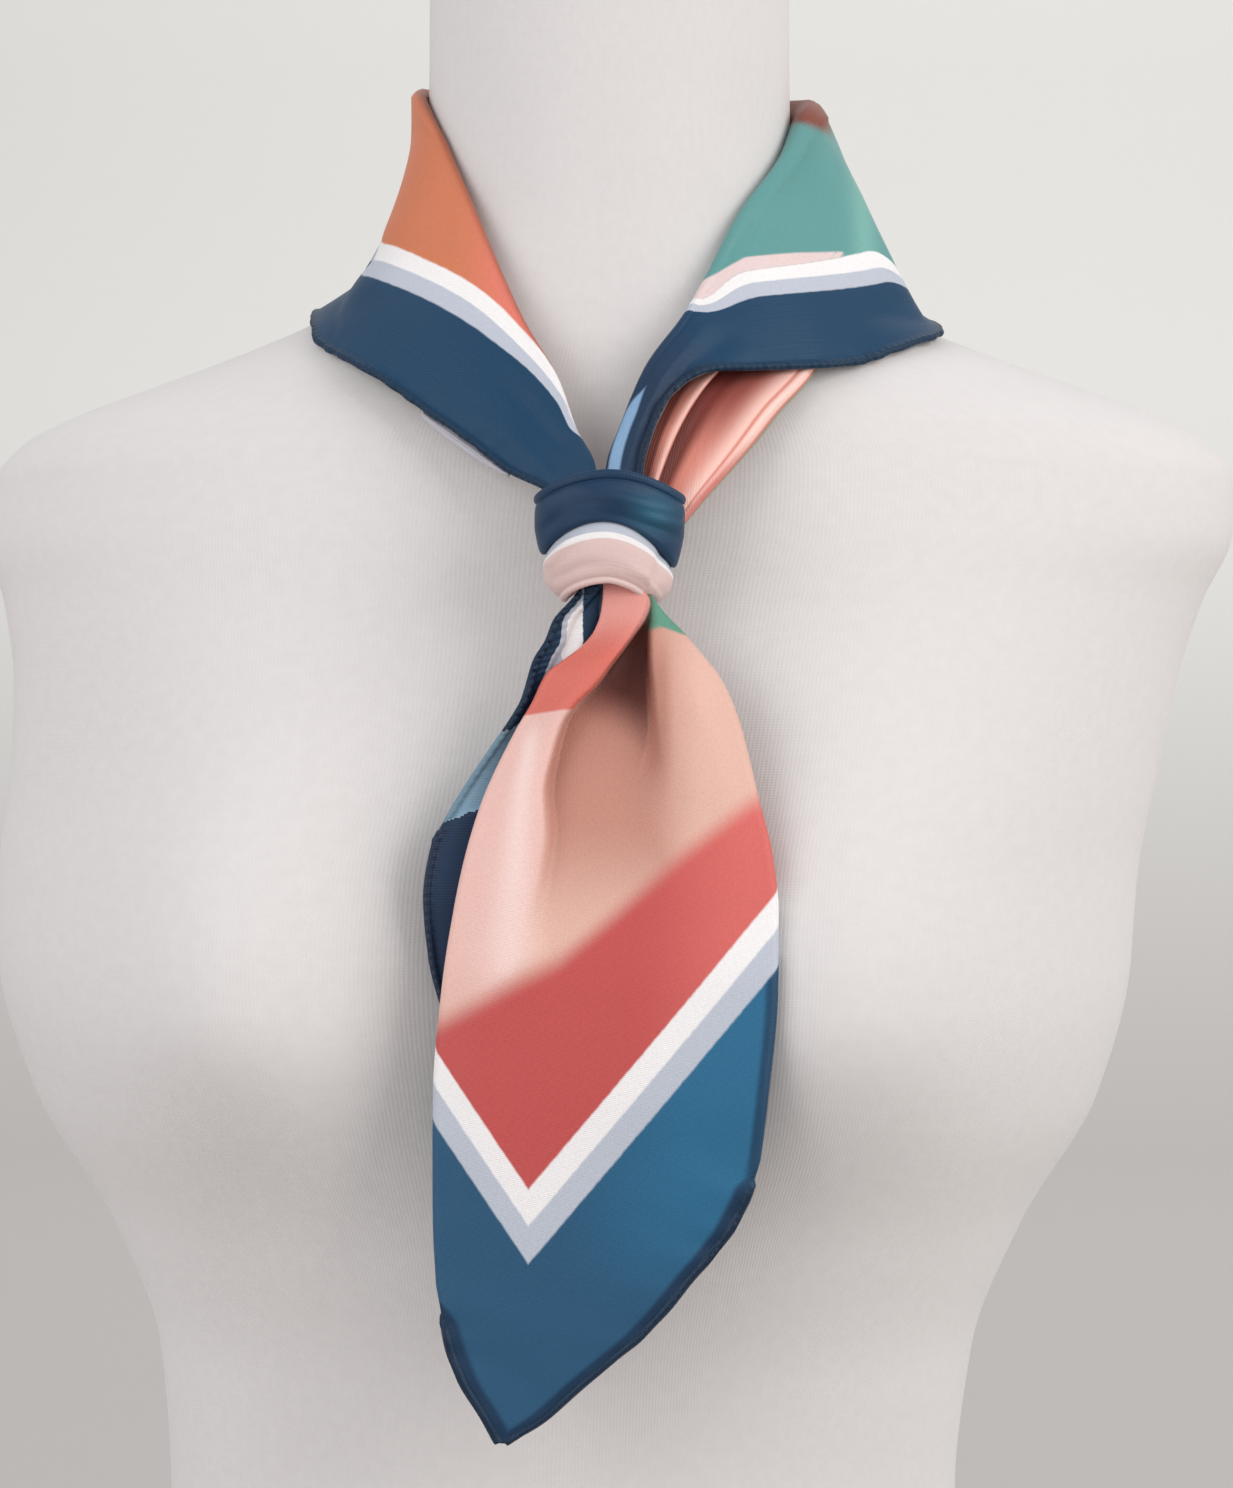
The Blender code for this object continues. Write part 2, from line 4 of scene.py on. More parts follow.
import bpy
import numpy as np
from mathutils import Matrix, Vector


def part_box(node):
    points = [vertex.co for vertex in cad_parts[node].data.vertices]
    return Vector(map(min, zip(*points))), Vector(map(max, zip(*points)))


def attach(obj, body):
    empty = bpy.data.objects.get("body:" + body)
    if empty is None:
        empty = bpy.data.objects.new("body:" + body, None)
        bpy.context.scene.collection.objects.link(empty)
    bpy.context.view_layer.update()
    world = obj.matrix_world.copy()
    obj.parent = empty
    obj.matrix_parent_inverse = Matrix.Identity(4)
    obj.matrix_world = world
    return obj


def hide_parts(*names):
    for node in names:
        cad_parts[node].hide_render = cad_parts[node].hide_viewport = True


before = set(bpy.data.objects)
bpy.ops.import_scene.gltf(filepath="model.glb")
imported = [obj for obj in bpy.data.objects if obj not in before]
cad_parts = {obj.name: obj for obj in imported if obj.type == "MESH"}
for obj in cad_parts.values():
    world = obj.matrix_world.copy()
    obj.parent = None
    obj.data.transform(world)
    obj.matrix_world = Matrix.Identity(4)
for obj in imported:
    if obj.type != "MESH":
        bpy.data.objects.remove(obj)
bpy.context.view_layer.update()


# ================================================================ dress form
# A limbless padded torso on its flat base, with a woman's general figure. Its cover is one tube of
# fine off-white jersey, drawn tight over the form and closed over the neck's cap. All sizes of the
# form and the scarf are in millimetres about the neck's axis, and the chest looks to -Y.

BUST_OUT = 98.0
BUST_HEIGHT = 332.0
BUST_RISE = 48.0
BUST_SPREAD = 46.0
BUST_ABOVE = 62.0
BUST_BELOW = 38.0
ROUNDNESS = 2.25
COVER_AROUND = 168
NECK_CAP_RISE = 4.0

# The form's level lines: half the width, the depths before and behind the axis, the lean to a side.
FormRing = namedtuple("FormRing", "height half_width front back sway")
FORM_RINGS = (
    FormRing(0, 152, 98, 104, -14),
    FormRing(12, 156, 101, 107, -14),
    FormRing(50, 161, 104, 110, -14),
    FormRing(95, 152, 100, 106, -14),
    FormRing(140, 129, 92, 92, -14),
    FormRing(180, 117, 87, 82, -14),
    FormRing(225, 121, 92, 82, -13),
    FormRing(262, 135, 99, 88, -12.5),
    FormRing(300, 158, 101, 94, -13),
    FormRing(340, 169, 99, 99, -14),
    FormRing(365, 170, 95, 103, -13),
    FormRing(391, 171, 90, 105, -9),
    FormRing(423, 174, 84, 106, -5),
    FormRing(445, 179, 79, 105, -3),
    FormRing(465, 186, 75, 100, -1),
    FormRing(482, 185, 71, 92, 0),
    FormRing(493, 176, 68, 85, 0),
    FormRing(501, 160, 65, 79, 0),
    FormRing(509, 138, 62, 74, 0),
    FormRing(518, 113, 60, 69, 0),
    FormRing(528, 89, 58, 64, 0),
    FormRing(542, 68, 56, 60, 0),
    FormRing(560, 57.5, 54.5, 57, 0),
    FormRing(590, 54, 54, 56, 0),
    FormRing(643, 53.5, 54, 56, 0),
    FormRing(650, 52, 52.5, 54.5, 0),
)


def eased(keys, rows, at):
    """Read a table at `at` by a monotone cubic, which never overshoots its rows."""
    keys = np.asarray(keys, float)
    rows = np.asarray(rows, float).reshape(len(keys), -1)
    spans = np.diff(keys)[:, None]
    slopes = np.diff(rows, axis=0) / spans
    same_way = slopes[:-1] * slopes[1:] > 0
    mean = 2 * slopes[:-1] * slopes[1:] / np.where(same_way, slopes[:-1] + slopes[1:], 1)
    tangents = np.vstack([slopes[:1], np.where(same_way, mean, 0), slopes[-1:]])
    at = np.clip(np.atleast_1d(np.asarray(at, float)), keys[0], keys[-1])
    index = np.clip(np.searchsorted(keys, at, side="right") - 1, 0, len(keys) - 2)
    span = spans[index]
    t = ((at - keys[index]) / span[:, 0])[:, None]
    start = (1 + 2 * t) * (1 - t) ** 2 * rows[index] + t * (1 - t) ** 2 * span * tangents[index]
    end = t * t * (3 - 2 * t) * rows[index + 1] + t * t * (t - 1) * span * tangents[index + 1]
    return start + end


def read_table(table, at):
    """Read a table's other columns where its first one, which rises, has the values `at`."""
    return eased([row[0] for row in table], [row[1:] for row in table], at)


def form_sizes(height):
    """Half width, front and back depths and sideways sway of the form at each height."""
    return [column.reshape(np.shape(height)) for column in read_table(FORM_RINGS, np.ravel(height)).T]


def bust_swell(x, height, half_width):
    """How far the bust stands out past the torso's plain section."""
    reach = np.where(np.asarray(height) < BUST_HEIGHT, BUST_BELOW, BUST_ABOVE)
    rise = np.exp(-((height - BUST_HEIGHT) ** 2) / (2 * reach**2))
    spread = sum(np.exp(-((x - side * BUST_OUT) ** 2) / (2 * BUST_SPREAD**2)) for side in (-1, 1))
    return BUST_RISE * rise * spread * np.clip(1 - np.abs(x / half_width) ** 4, 0, 1)


def form_level(point):
    """Under 1 inside the form, 1 on its surface and over 1 outside."""
    x, y, height = point[..., 0], point[..., 1], point[..., 2]
    half_width, front, back, sway = form_sizes(height)
    x = x - sway
    y = np.where(y < 0, np.minimum(y + bust_swell(x, height, half_width), 0), y)
    depth = np.where(y < 0, front, back)
    level = np.abs(x / half_width) ** ROUNDNESS + np.abs(y / depth) ** ROUNDNESS
    return level ** (1 / ROUNDNESS)


def form_ring(height, shrink=1.0, lift=0.0):
    """One level line of the cover, drawn in towards its middle by `shrink` and raised by `lift`."""
    angles = np.arange(COVER_AROUND) * 2 * math.pi / COVER_AROUND
    half_width, front, back, sway = (float(size) for size in form_sizes(float(height)))
    across = np.sign(np.cos(angles)) * np.abs(np.cos(angles)) ** (2 / ROUNDNESS)
    along = np.sign(np.sin(angles)) * np.abs(np.sin(angles)) ** (2 / ROUNDNESS)
    x = half_width * across
    y = np.where(along < 0, front, back) * along
    y = y - np.where(along < 0, bust_swell(x, height, half_width), 0)
    return np.column_stack([x * shrink + sway, y * shrink, np.full_like(x, height + lift)])


def plain_mesh(name, points, faces):
    """A smooth-shaded mesh object from points in metres."""
    mesh = bpy.data.meshes.new(name)
    mesh.from_pydata(points.tolist(), [], faces)
    mesh.shade_smooth()
    piece = bpy.data.objects.new(name, mesh)
    bpy.context.collection.objects.link(piece)
    return piece


def add_node(tree, kind, inputs=None, **settings):
    """One shader or geometry node: an input is a value, or the socket that feeds it."""
    node = tree.nodes.new(kind)
    for key, value in settings.items():
        setattr(node, key, value)
    for key, value in (inputs or {}).items():
        if isinstance(value, bpy.types.NodeSocket):
            tree.links.new(value, node.inputs[key])
        else:
            node.inputs[key].default_value = value
    return node


def reckon(tree, operation, first, second=0.0, third=0.0):
    """The result socket of one math node."""
    node = add_node(tree, "ShaderNodeMath", {0: first, 1: second, 2: third}, operation=operation)
    return node.outputs[0]


def blend_colour(tree, factor, first, second):
    """The result socket of a colour mix."""
    node = add_node(tree, "ShaderNodeMix", {0: factor, 6: first, 7: second}, data_type="RGBA")
    return node.outputs[2]


def srgb_colour(red, green, blue):
    """A colour of print, dye or painted light and shade, given on the usual 0 to 255 scale, as the shader
    wants it.
    """
    channels = [c / 255 for c in (red, green, blue)]
    linear = [c / 12.92 if c <= 0.04045 else ((c + 0.055) / 1.055) ** 2.4 for c in channels]
    return (*linear, 1.0)


def new_group(name, inputs, outputs):
    """An empty shader group with named sockets, and its two ends."""
    tree = bpy.data.node_groups.new(name, "ShaderNodeTree")
    for label, kind, value in inputs:
        socket = tree.interface.new_socket(label, in_out="INPUT", socket_type=kind)
        if value is not None:
            socket.default_value = value
    for label, kind in outputs:
        tree.interface.new_socket(label, in_out="OUTPUT", socket_type=kind)
    return tree, tree.nodes.new("NodeGroupInput"), tree.nodes.new("NodeGroupOutput")


def new_material(name):
    """A node material with its Principled shader."""
    material = bpy.data.materials.new(name)
    material.use_nodes = True
    return material, material.node_tree, material.node_tree.nodes["Principled BSDF"]


SHOULDER_LOW, SHOULDER_TOP, FORM_TOP = 472, 545, 650
cover_levels = np.unique(np.concatenate([
    np.arange(0, SHOULDER_LOW, 4.0), np.arange(SHOULDER_LOW, SHOULDER_TOP, 1.5),
    np.arange(SHOULDER_TOP, FORM_TOP, 4.0), [FORM_TOP],
]))
rings = [form_ring(0, shrink=s) for s in (0.02, 0.5, 0.97)]
rings += [form_ring(level) for level in cover_levels]
cap_shrinks = (0.97, 0.85, 0.6, 0.3, 0.02)
rings += [form_ring(FORM_TOP, shrink=s, lift=NECK_CAP_RISE * (1 - s**2)) for s in cap_shrinks]
rings = np.array(rings)

# The form's own box is laid on the CAD's, which places the neck's axis in the frame.
form_low, form_high = (np.array(corner) * 1000 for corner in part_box("dress_form"))
own_low, own_high = rings.reshape(-1, 3).min(axis=0), rings.reshape(-1, 3).max(axis=0)
frame_shift = (form_low + form_high - own_low - own_high) / 2
frame_shift[2] = 0.0


def in_frame(points):
    """Millimetres about the neck's axis, as metres in the shared frame."""
    return (np.asarray(points, float).reshape(-1, 3) + frame_shift) * 0.001


def ring_faces(first, second, around):
    """Quads between two closed rings of point numbers, the first one below."""
    return [
        (first + k, first + (k + 1) % around, second + (k + 1) % around, second + k)
        for k in range(around)
    ]


def stack_faces(levels, around):
    """The faces of a closed stack of rings, with one face over each end."""
    faces = []
    for level in range(levels - 1):
        faces += ring_faces(level * around, (level + 1) * around, around)
    faces.append(tuple(range(around))[::-1])
    faces.append(tuple((levels - 1) * around + k for k in range(around)))
    return faces


form_cover = plain_mesh("form_cover", in_frame(rings), stack_faces(len(rings), COVER_AROUND))

cover_uv = form_cover.data.uv_layers.new(name="knit")
rise_along = np.cumsum(np.r_[0, np.linalg.norm(np.diff(rings[:, COVER_AROUND // 4], axis=0), axis=1)])
COVER_GIRTH = 0.84
for polygon in form_cover.data.polygons:
    columns = [form_cover.data.loops[loop].vertex_index % COVER_AROUND for loop in polygon.loop_indices]
    wraps = max(columns) - min(columns) > COVER_AROUND // 2
    for loop, column in zip(polygon.loop_indices, columns):
        level = form_cover.data.loops[loop].vertex_index // COVER_AROUND
        turn = column + (COVER_AROUND if wraps and column < COVER_AROUND // 2 else 0)
        cover_uv.data[loop].uv = (turn / COVER_AROUND * COVER_GIRTH, rise_along[level] * 0.001)

WALE = 0.0009
# The unevenness of the yarn and of the whole cloth: how many to the metre, and its detail.
YARN_SLUBS = (240.0, 3.0)
CLOTH_CLOUDS = (14.0, 2.0)

knit, knit_in, knit_out = new_group(
    "fine_jersey",
    [("Place", "NodeSocketVector", None), ("Wale", "NodeSocketFloat", WALE)],
    [("Height", "NodeSocketFloat"), ("Shade", "NodeSocketFloat")],
)
place = add_node(knit, "ShaderNodeSeparateXYZ", {0: knit_in.outputs["Place"]})
wale = reckon(knit, "DIVIDE", place.outputs[0], knit_in.outputs["Wale"])
course = reckon(knit, "DIVIDE", place.outputs[1], knit_in.outputs["Wale"])
leg = reckon(knit, "PINGPONG", wale, 0.5)
slanted = reckon(knit, "MULTIPLY_ADD", leg, 0.8, reckon(knit, "MULTIPLY", course, 1.25))
rib = reckon(knit, "SINE", reckon(knit, "MULTIPLY", wale, 2 * math.pi))
loop_row = reckon(knit, "SINE", reckon(knit, "MULTIPLY", slanted, 2 * math.pi))
height = reckon(knit, "MULTIPLY_ADD", loop_row, 0.6, rib)
slub, cloudy = (
    add_node(knit, "ShaderNodeTexNoise", {
        "Vector": knit_in.outputs["Place"], "Scale": scale, "Detail": detail,
    })
    for scale, detail in (YARN_SLUBS, CLOTH_CLOUDS)
)
shade = reckon(knit, "MULTIPLY_ADD", slub.outputs[0], 0.45, 0.15)
shade = reckon(knit, "MULTIPLY_ADD", height, 0.045, shade)
shade = reckon(knit, "MULTIPLY_ADD", cloudy.outputs[0], 0.25, shade)
knit.links.new(reckon(knit, "MULTIPLY_ADD", slub.outputs[0], 1.2, height), knit_out.inputs["Height"])
knit.links.new(shade, knit_out.inputs["Shade"])

cover_cloth, tree, shader = new_material("off_white_jersey")
cover_map = add_node(tree, "ShaderNodeUVMap", uv_map="knit")
stitchwork = add_node(tree, "ShaderNodeGroup", node_tree=knit)
tree.links.new(cover_map.outputs[0], stitchwork.inputs["Place"])
tint = blend_colour(tree, stitchwork.outputs["Shade"], srgb_colour(206, 201, 199), srgb_colour(224, 220, 218))
tree.links.new(tint, shader.inputs["Base Color"])
relief = add_node(tree, "ShaderNodeBump", {
    "Strength": 0.12, "Distance": 0.00015, "Height": stitchwork.outputs["Height"],
})
tree.links.new(relief.outputs[0], shader.inputs["Normal"])
shader.inputs["Roughness"].default_value = 0.92
shader.inputs["Specular IOR Level"].default_value = 0.2
shader.inputs["Sheen Weight"].default_value = 0.12
shader.inputs["Sheen Roughness"].default_value = 0.6
form_cover.data.materials.append(cover_cloth)
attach(form_cover, "root")
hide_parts("dress_form")


# ================================================================ left wing
# The stretch of printed silk twill from the knot up to the left side of the neck, seen from in
# front. It folds over at the top and falls outside. Its lower edge is one side of the square, with
# a hem rolled and sewn by hand; only the fold and the knot hold it on the form.

SCARF_TURN = 3.0
LAY_GAP = 1.0
SILK = 0.5
HEM_ROLL = 1.1
HEM_SHADE_REACH = 1.5
HEM_STEPS = np.array([0.0, 0.3, 0.8, 1.3, 1.75, 2.1])
NARROW = 12.0
NAVY_EDGE = 33.7
LAVENDER_EDGE = 40.8
WHITE_EDGE = 47.6
FAR_INSIDE = 160.0
NO_HEM = 99.0
NO_ACCENT = 9.0

ORANGE = srgb_colour(206, 120, 84)
CORAL_PINK = srgb_colour(224, 122, 106)
FOLD_SHADE_BROWN = srgb_colour(122, 66, 50)
GREEN = srgb_colour(94, 150, 147)
ROSE_STRIPE = srgb_colour(224, 202, 199)
ROLL_ORANGE_IN_SHADE = srgb_colour(126, 56, 36)
NAVY = srgb_colour(14, 59, 90)
LAVENDER = srgb_colour(186, 191, 202)
WHITE = srgb_colour(238, 234, 233)

# Along the collar: the top fold's place, the hem's place, how far the fall sags between them, the
# radius of the fold and how far the cloth stands down inside it.
Section = namedtuple("Section", "fold_x fold_y fold_z hem_x hem_y hem_z sag roll stand")
LEFT_SECTIONS = (
    Section(-3.0, -100, 472.0, -14.0, -99, 468.5, 0, 1.2, 5),
    Section(-4.2, -95, 480.0, -18.3, -95, 472.8, 0, 1.2, 6),
    Section(-9.3, -85, 490.4, -27.5, -88, 477.5, -1, 1.2, 8),
    Section(-14.4, -77, 505.0, -39.2, -81, 486.7, -2, 1.2, 10),
    Section(-24.2, -67, 522.3, -52.0, -73, 496.0, -3, 1.3, 14),
    Section(-39.8, -49, 558.0, -65.3, -65, 505.8, 1, 1.4, 22),
    Section(-49.8, -31, 582.0, -77.0, -54, 513.0, 4, 1.6, 28),
    Section(-54.5, -11, 596.0, -85.0, -38, 519.0, 11, 1.9, 32),
    Section(-56.5, 9, 601.0, -85.5, -8, 527.0, 15, 2.4, 34),
)
# Where the printed lines lie on the fall, as it is foreshortened by its twist: from the hem.
Stripes = namedtuple("Stripes", "section navy lavender white")
LEFT_STRIPES = (
    Stripes(0.0, 20.0, 21.0, 22.0),
    Stripes(1.9, 21.0, 22.5, 24.0),
    Stripes(2.7, 25.6, 27.6, 29.6),
    Stripes(3.75, 28.2, 31.8, 35.6),
    Stripes(4.7, 28.2, 33.7, 38.7),
    Stripes(7.0, 26.5, 32.0, 38.0),
    Stripes(8.0, 25.0, 30.0, 36.0),
)
# Soft creases: each is a line of points across and up, with its width and its rise off the form.
LEFT_CREASES = (
    ((-76, 541, 3.5, 0.0), (-66, 547, 4.0, -1.5), (-50, 544, 5.0, -0.8), (-38, 534, 6.0, 0.0)),
    ((-84, 529, 4.0, 0.0), (-70, 536, 4.5, 1.3), (-54, 532, 5.5, 0.7), (-42, 522, 6.0, 0.0)),
    ((-17, 478, 2.2, 0.7), (-27, 488, 3.2, 0.8), (-41, 497, 4.5, 0.0)),
    ((-13, 485, 1.8, -0.5), (-24, 497, 3.0, -0.7), (-36, 511, 4.5, 0.0)),
)


def unit(vectors):
    """Vectors of length 1 along the last axis."""
    return vectors / np.maximum(np.linalg.norm(vectors, axis=-1, keepdims=True), 1e-9)


def clear_of_form(points, gap):
    """Move each point out along the form's slope until it is `gap` from the surface."""
    points = np.array(points, float)
    nudge = 0.2
    for _ in range(6):
        level = form_level(points)
        slope = np.stack([
            (form_level(points + nudge * axis) - form_level(points - nudge * axis)) / (2 * nudge)
            for axis in np.eye(3)
        ], axis=-1)
        steepness = np.linalg.norm(slope, axis=-1) + 1e-9
        short = np.clip(gap - (level - 1) / steepness, 0, 12)
        points += slope / steepness[..., None] * short[..., None]
    return points


def turned(points, degrees=SCARF_TURN):
    """The scarf's own frame, turned round the neck's axis as it was put on."""
    angle = math.radians(degrees)
    spin = np.array([
        [math.cos(angle), math.sin(angle), 0],
        [-math.sin(angle), math.cos(angle), 0],
        [0, 0, 1],
    ])
    return np.asarray(points) @ spin


def laid_on_form(points, gap):
    """Points in the scarf's own frame, moved out where they are less than `gap` off the form."""
    return turned(clear_of_form(turned(points), gap), -SCARF_TURN)


def run_length(points):
    """Length along the last row of points, from the first one."""
    steps = np.linalg.norm(np.diff(points, axis=-2), axis=-1)
    return np.concatenate([np.zeros((*steps.shape[:-1], 1)), np.cumsum(steps, axis=-1)], axis=-1)


ROLL_STEPS = 8
STAND_STEPS = 8
FALL_STEPS = 44


def section_line(row):
    """One section of the folded collar, with the distance of each point from the hem."""
    fold, hem = np.array(row[0:3]), np.array(row[3:6])
    sag, roll, stand = row[6:9]
    out = unit(np.array([fold[0], fold[1], 0]))
    down = unit(hem - fold)
    inner_down = unit(down - out * (down @ out))
    middle = fold + inner_down * roll
    inside, outside = middle - out * roll, middle + out * roll
    stand_part = [inside + inner_down * stand * (1 - k / STAND_STEPS) for k in range(STAND_STEPS)]
    turns = [math.pi * k / ROLL_STEPS for k in range(ROLL_STEPS)]
    roll_part = [middle - out * roll * math.cos(a) - inner_down * roll * math.sin(a) for a in turns]
    inward = unit(down * (down @ out) - out)
    control = (outside + hem) / 2 + inward * sag
    t = np.linspace(0, 1, 80)[:, None]
    curve = (1 - t) ** 2 * outside + 2 * t * (1 - t) * control + t * t * hem
    along = run_length(curve)
    total = along[-1]
    hem_steps = HEM_STEPS * min(1, total / NARROW)
    places = np.r_[np.linspace(0, total - hem_steps[-1], FALL_STEPS)[:-1], total - hem_steps[::-1]]
    fall_part = np.column_stack([np.interp(places, along, curve[:, k]) for k in range(3)])
    line = np.vstack([stand_part, roll_part, fall_part])
    length = run_length(line)
    return line, length[-1] - length


def press(points, creases, out):
    """Push cloth off the form or towards it along soft lines in the plane across and up."""
    flat = points[..., [0, 2]]
    total = np.zeros(flat.shape[:-1])
    for line in creases:
        line = np.array(line, float)
        nearest = np.full(total.shape, 1e9)
        rise = np.zeros(total.shape)
        for start, end in zip(line, line[1:]):
            way = end[:2] - start[:2]
            t = np.clip((flat - start[:2]) @ way / (way @ way), 0, 1)
            apart = np.linalg.norm(flat - start[:2] - t[..., None] * way, axis=-1)
            width = start[2] + (end[2] - start[2]) * t
            here = (start[3] + (end[3] - start[3]) * t) * np.exp(-((apart / width) ** 2))
            rise = np.where(apart < nearest, here, rise)
            nearest = np.minimum(apart, nearest)
        total += rise
    return points + out * total[..., None]


def hem_thickness(from_hem):
    """The silk's own thickness, swelling into the rolled hem along its edge."""
    inside = np.clip(HEM_ROLL**2 - (from_hem - HEM_ROLL) ** 2, 0, None)
    return np.maximum(2 * np.sqrt(inside), np.where(from_hem < HEM_ROLL, 0.2, SILK))


def smooth_step(value, low, high):
    """0 below `low`, 1 above `high`, and a soft change between."""
    t = np.clip((value - low) / (high - low), 0, 1)
    return t * t * (3 - 2 * t)


def ramp(value, low, full, fades, gone):
    """Rises softly from `low` to `full`, then falls from `fades` to `gone`."""
    return smooth_step(value, low, full) * smooth_step(value, gone, fades)


def tinted(first, second, amount):
    """A mix of two colours at each point."""
    amount = np.asarray(amount, float)[..., None]
    return np.asarray(first, float) * (1 - amount) + np.asarray(second, float) * amount


def silk_wall(name, middle, thickness, print_map, paint, from_hem, closed=False, about=(0, 0, 0)):
    """A thin closed wall of silk on a grid of middle points, with its print laid on as UVs.

    `paint` gives the field, border and accent colours, and how far each point is from the accent.
    The print's face looks away from the upright line through `about`.
    """
    rows, columns = middle.shape[:2]
    if closed:
        around = np.roll(middle, -1, axis=1) - np.roll(middle, 1, axis=1)
    else:
        around = np.gradient(middle, axis=1)
    normals = unit(np.cross(np.gradient(middle, axis=0), around))
    if np.sum(normals * unit((middle - np.array(about)) * (1, 1, 0))) < 0:
        normals = -normals
    half = np.broadcast_to(np.asarray(thickness, float), (rows, columns))[..., None] / 2
    points = np.concatenate([middle + normals * half, middle - normals * half]).reshape(-1, 3)
    number = np.arange(rows * columns).reshape(rows, columns)
    if closed:
        number = np.column_stack([number, number[:, 0]])
    back = number + rows * columns

    def quads(a, b, c, d):
        return np.stack([a.ravel(), b.ravel(), c.ravel(), d.ravel()], axis=1).tolist()

    faces = quads(number[:-1, :-1], number[1:, :-1], number[1:, 1:], number[:-1, 1:])
    faces += quads(back[:-1, :-1], back[:-1, 1:], back[1:, 1:], back[1:, :-1])
    faces += quads(number[0, :-1], number[0, 1:], back[0, 1:], back[0, :-1])
    faces += quads(number[-1, 1:], number[-1, :-1], back[-1, :-1], back[-1, 1:])
    if not closed:
        faces += quads(number[1:, 0], number[:-1, 0], back[:-1, 0], back[1:, 0])
        faces += quads(number[:-1, -1], number[1:, -1], back[1:, -1], back[:-1, -1])
    placed = in_frame(turned(points))
    corners = placed[np.array(faces)]
    volume = np.einsum("ij,ij->", corners[:, 0], np.cross(corners[:, 1], corners[:, 2]))
    volume += np.einsum("ij,ij->", corners[:, 0], np.cross(corners[:, 2], corners[:, 3]))
    if volume < 0:
        faces = [face[::-1] for face in faces]
    piece = plain_mesh(name, placed, faces)
    mesh = piece.data
    loops = np.empty(len(mesh.loops), int)
    mesh.loops.foreach_get("vertex_index", loops)
    both = np.tile(print_map.reshape(-1, 2), (2, 1))
    mesh.uv_layers.new(name="print").data.foreach_set("uv", both[loops].ravel())
    for label in ("field", "border", "accent"):
        colours = np.tile(np.broadcast_to(paint[label], (rows, columns, 4)).reshape(-1, 4), (2, 1))
        mesh.attributes.new(label, "FLOAT_COLOR", "POINT").data.foreach_set("color", colours.ravel())
    single = {
        "apart": paint["apart"],
        "hem_near": np.clip(HEM_SHADE_REACH - np.asarray(from_hem) / (2 * HEM_ROLL), 0, 1),
    }
    for label, values in single.items():
        values = np.tile(np.broadcast_to(values, (rows, columns)).ravel(), 2)
        mesh.attributes.new(label, "FLOAT", "POINT").data.foreach_set("value", values)
    reverse = np.repeat([0.0, 1.0], rows * columns)
    mesh.attributes.new("reverse", "FLOAT", "POINT").data.foreach_set("value", reverse)
    return piece


FALL_FROM = 16
PUCKER = 0.35
PUCKER_SPACING = 9.5
PRINT_REST = 110.0


def collar_grid(sections, per_row, creases, stripes):
    """The folded collar's middle surface, each point's print place and its distance to the hem."""
    places = np.linspace(0, len(sections) - 1, (len(sections) - 1) * per_row + 1)
    rows = eased(range(len(sections)), sections, places)
    lines = [section_line(row) for row in rows]
    grid = np.array([line for line, _ in lines])
    from_hem = np.array([to_hem for _, to_hem in lines])
    columns = np.arange(grid.shape[1])
    on_fall = smooth_step(columns, 12, 22)[None, :, None]
    out = unit(grid * (1, 1, 0))
    along = run_length(grid[:, -1])[:, None]
    waves = np.sin(along * 2 * math.pi / PUCKER_SPACING + 1.4 * np.sin(along / 5.0))
    pucker = PUCKER * waves * np.exp(-from_hem / 3.5)
    grid = press(grid, creases, out * on_fall) + out * pucker[..., None]
    outer = np.clip((columns - ROLL_STEPS) / ROLL_STEPS, 0, 1)
    towards_hem = np.clip((columns - FALL_FROM) / (len(columns) - FALL_FROM - 1), 0, 1)
    above_stand = 2 * rows[:, 7:8] * (1 - towards_hem) + 1.2 * towards_hem
    grid = laid_on_form(grid, LAY_GAP + outer * above_stand)
    printed = np.empty_like(from_hem)
    targets = (0, NAVY_EDGE, LAVENDER_EDGE, WHITE_EDGE, FAR_INSIDE)
    for k, (navy, lavender, white) in enumerate(read_table(stripes, places)):
        printed[k] = np.interp(from_hem[k], (0, navy, lavender, white, white + PRINT_REST), targets)
    print_map = np.stack([printed, np.broadcast_to(along + 200, printed.shape)], axis=-1)
    return grid, print_map, from_hem, places


silk_print, print_in, print_out = new_group(
    "silk_print",
    [
        ("Place", "NodeSocketVector", None), ("Field", "NodeSocketColor", None),
        ("Border", "NodeSocketColor", None), ("Accent", "NodeSocketColor", None),
        ("Apart", "NodeSocketFloat", 1.0), ("Reverse", "NodeSocketFloat", 0.0),
        ("Hem", "NodeSocketFloat", 0.0),
    ],
    [("Colour", "NodeSocketColor"), ("Height", "NodeSocketFloat"), ("Roughness", "NodeSocketFloat")],
)


def work(operation, first, second=0.0, third=0.0):
    """One sum in the print's own group."""
    return reckon(silk_print, operation, first, second, third)


def unevenness(vector, scale, detail=2.0):
    """One noise in the print's own group."""
    node = add_node(silk_print, "ShaderNodeTexNoise", {"Vector": vector, "Scale": scale, "Detail": detail})
    return node.outputs[0]


def past(edge, value, soft=0.35):
    """1 where the value is past a printed line, with the dye's slight bleed."""
    node = add_node(silk_print, "ShaderNodeMapRange", {
        "Value": value, "From Min": edge - soft, "From Max": edge + soft,
    })
    return node.outputs[0]


def over(mask, first, second):
    """The second colour over the first, where the mask is 1."""
    return blend_colour(silk_print, mask, first, second)


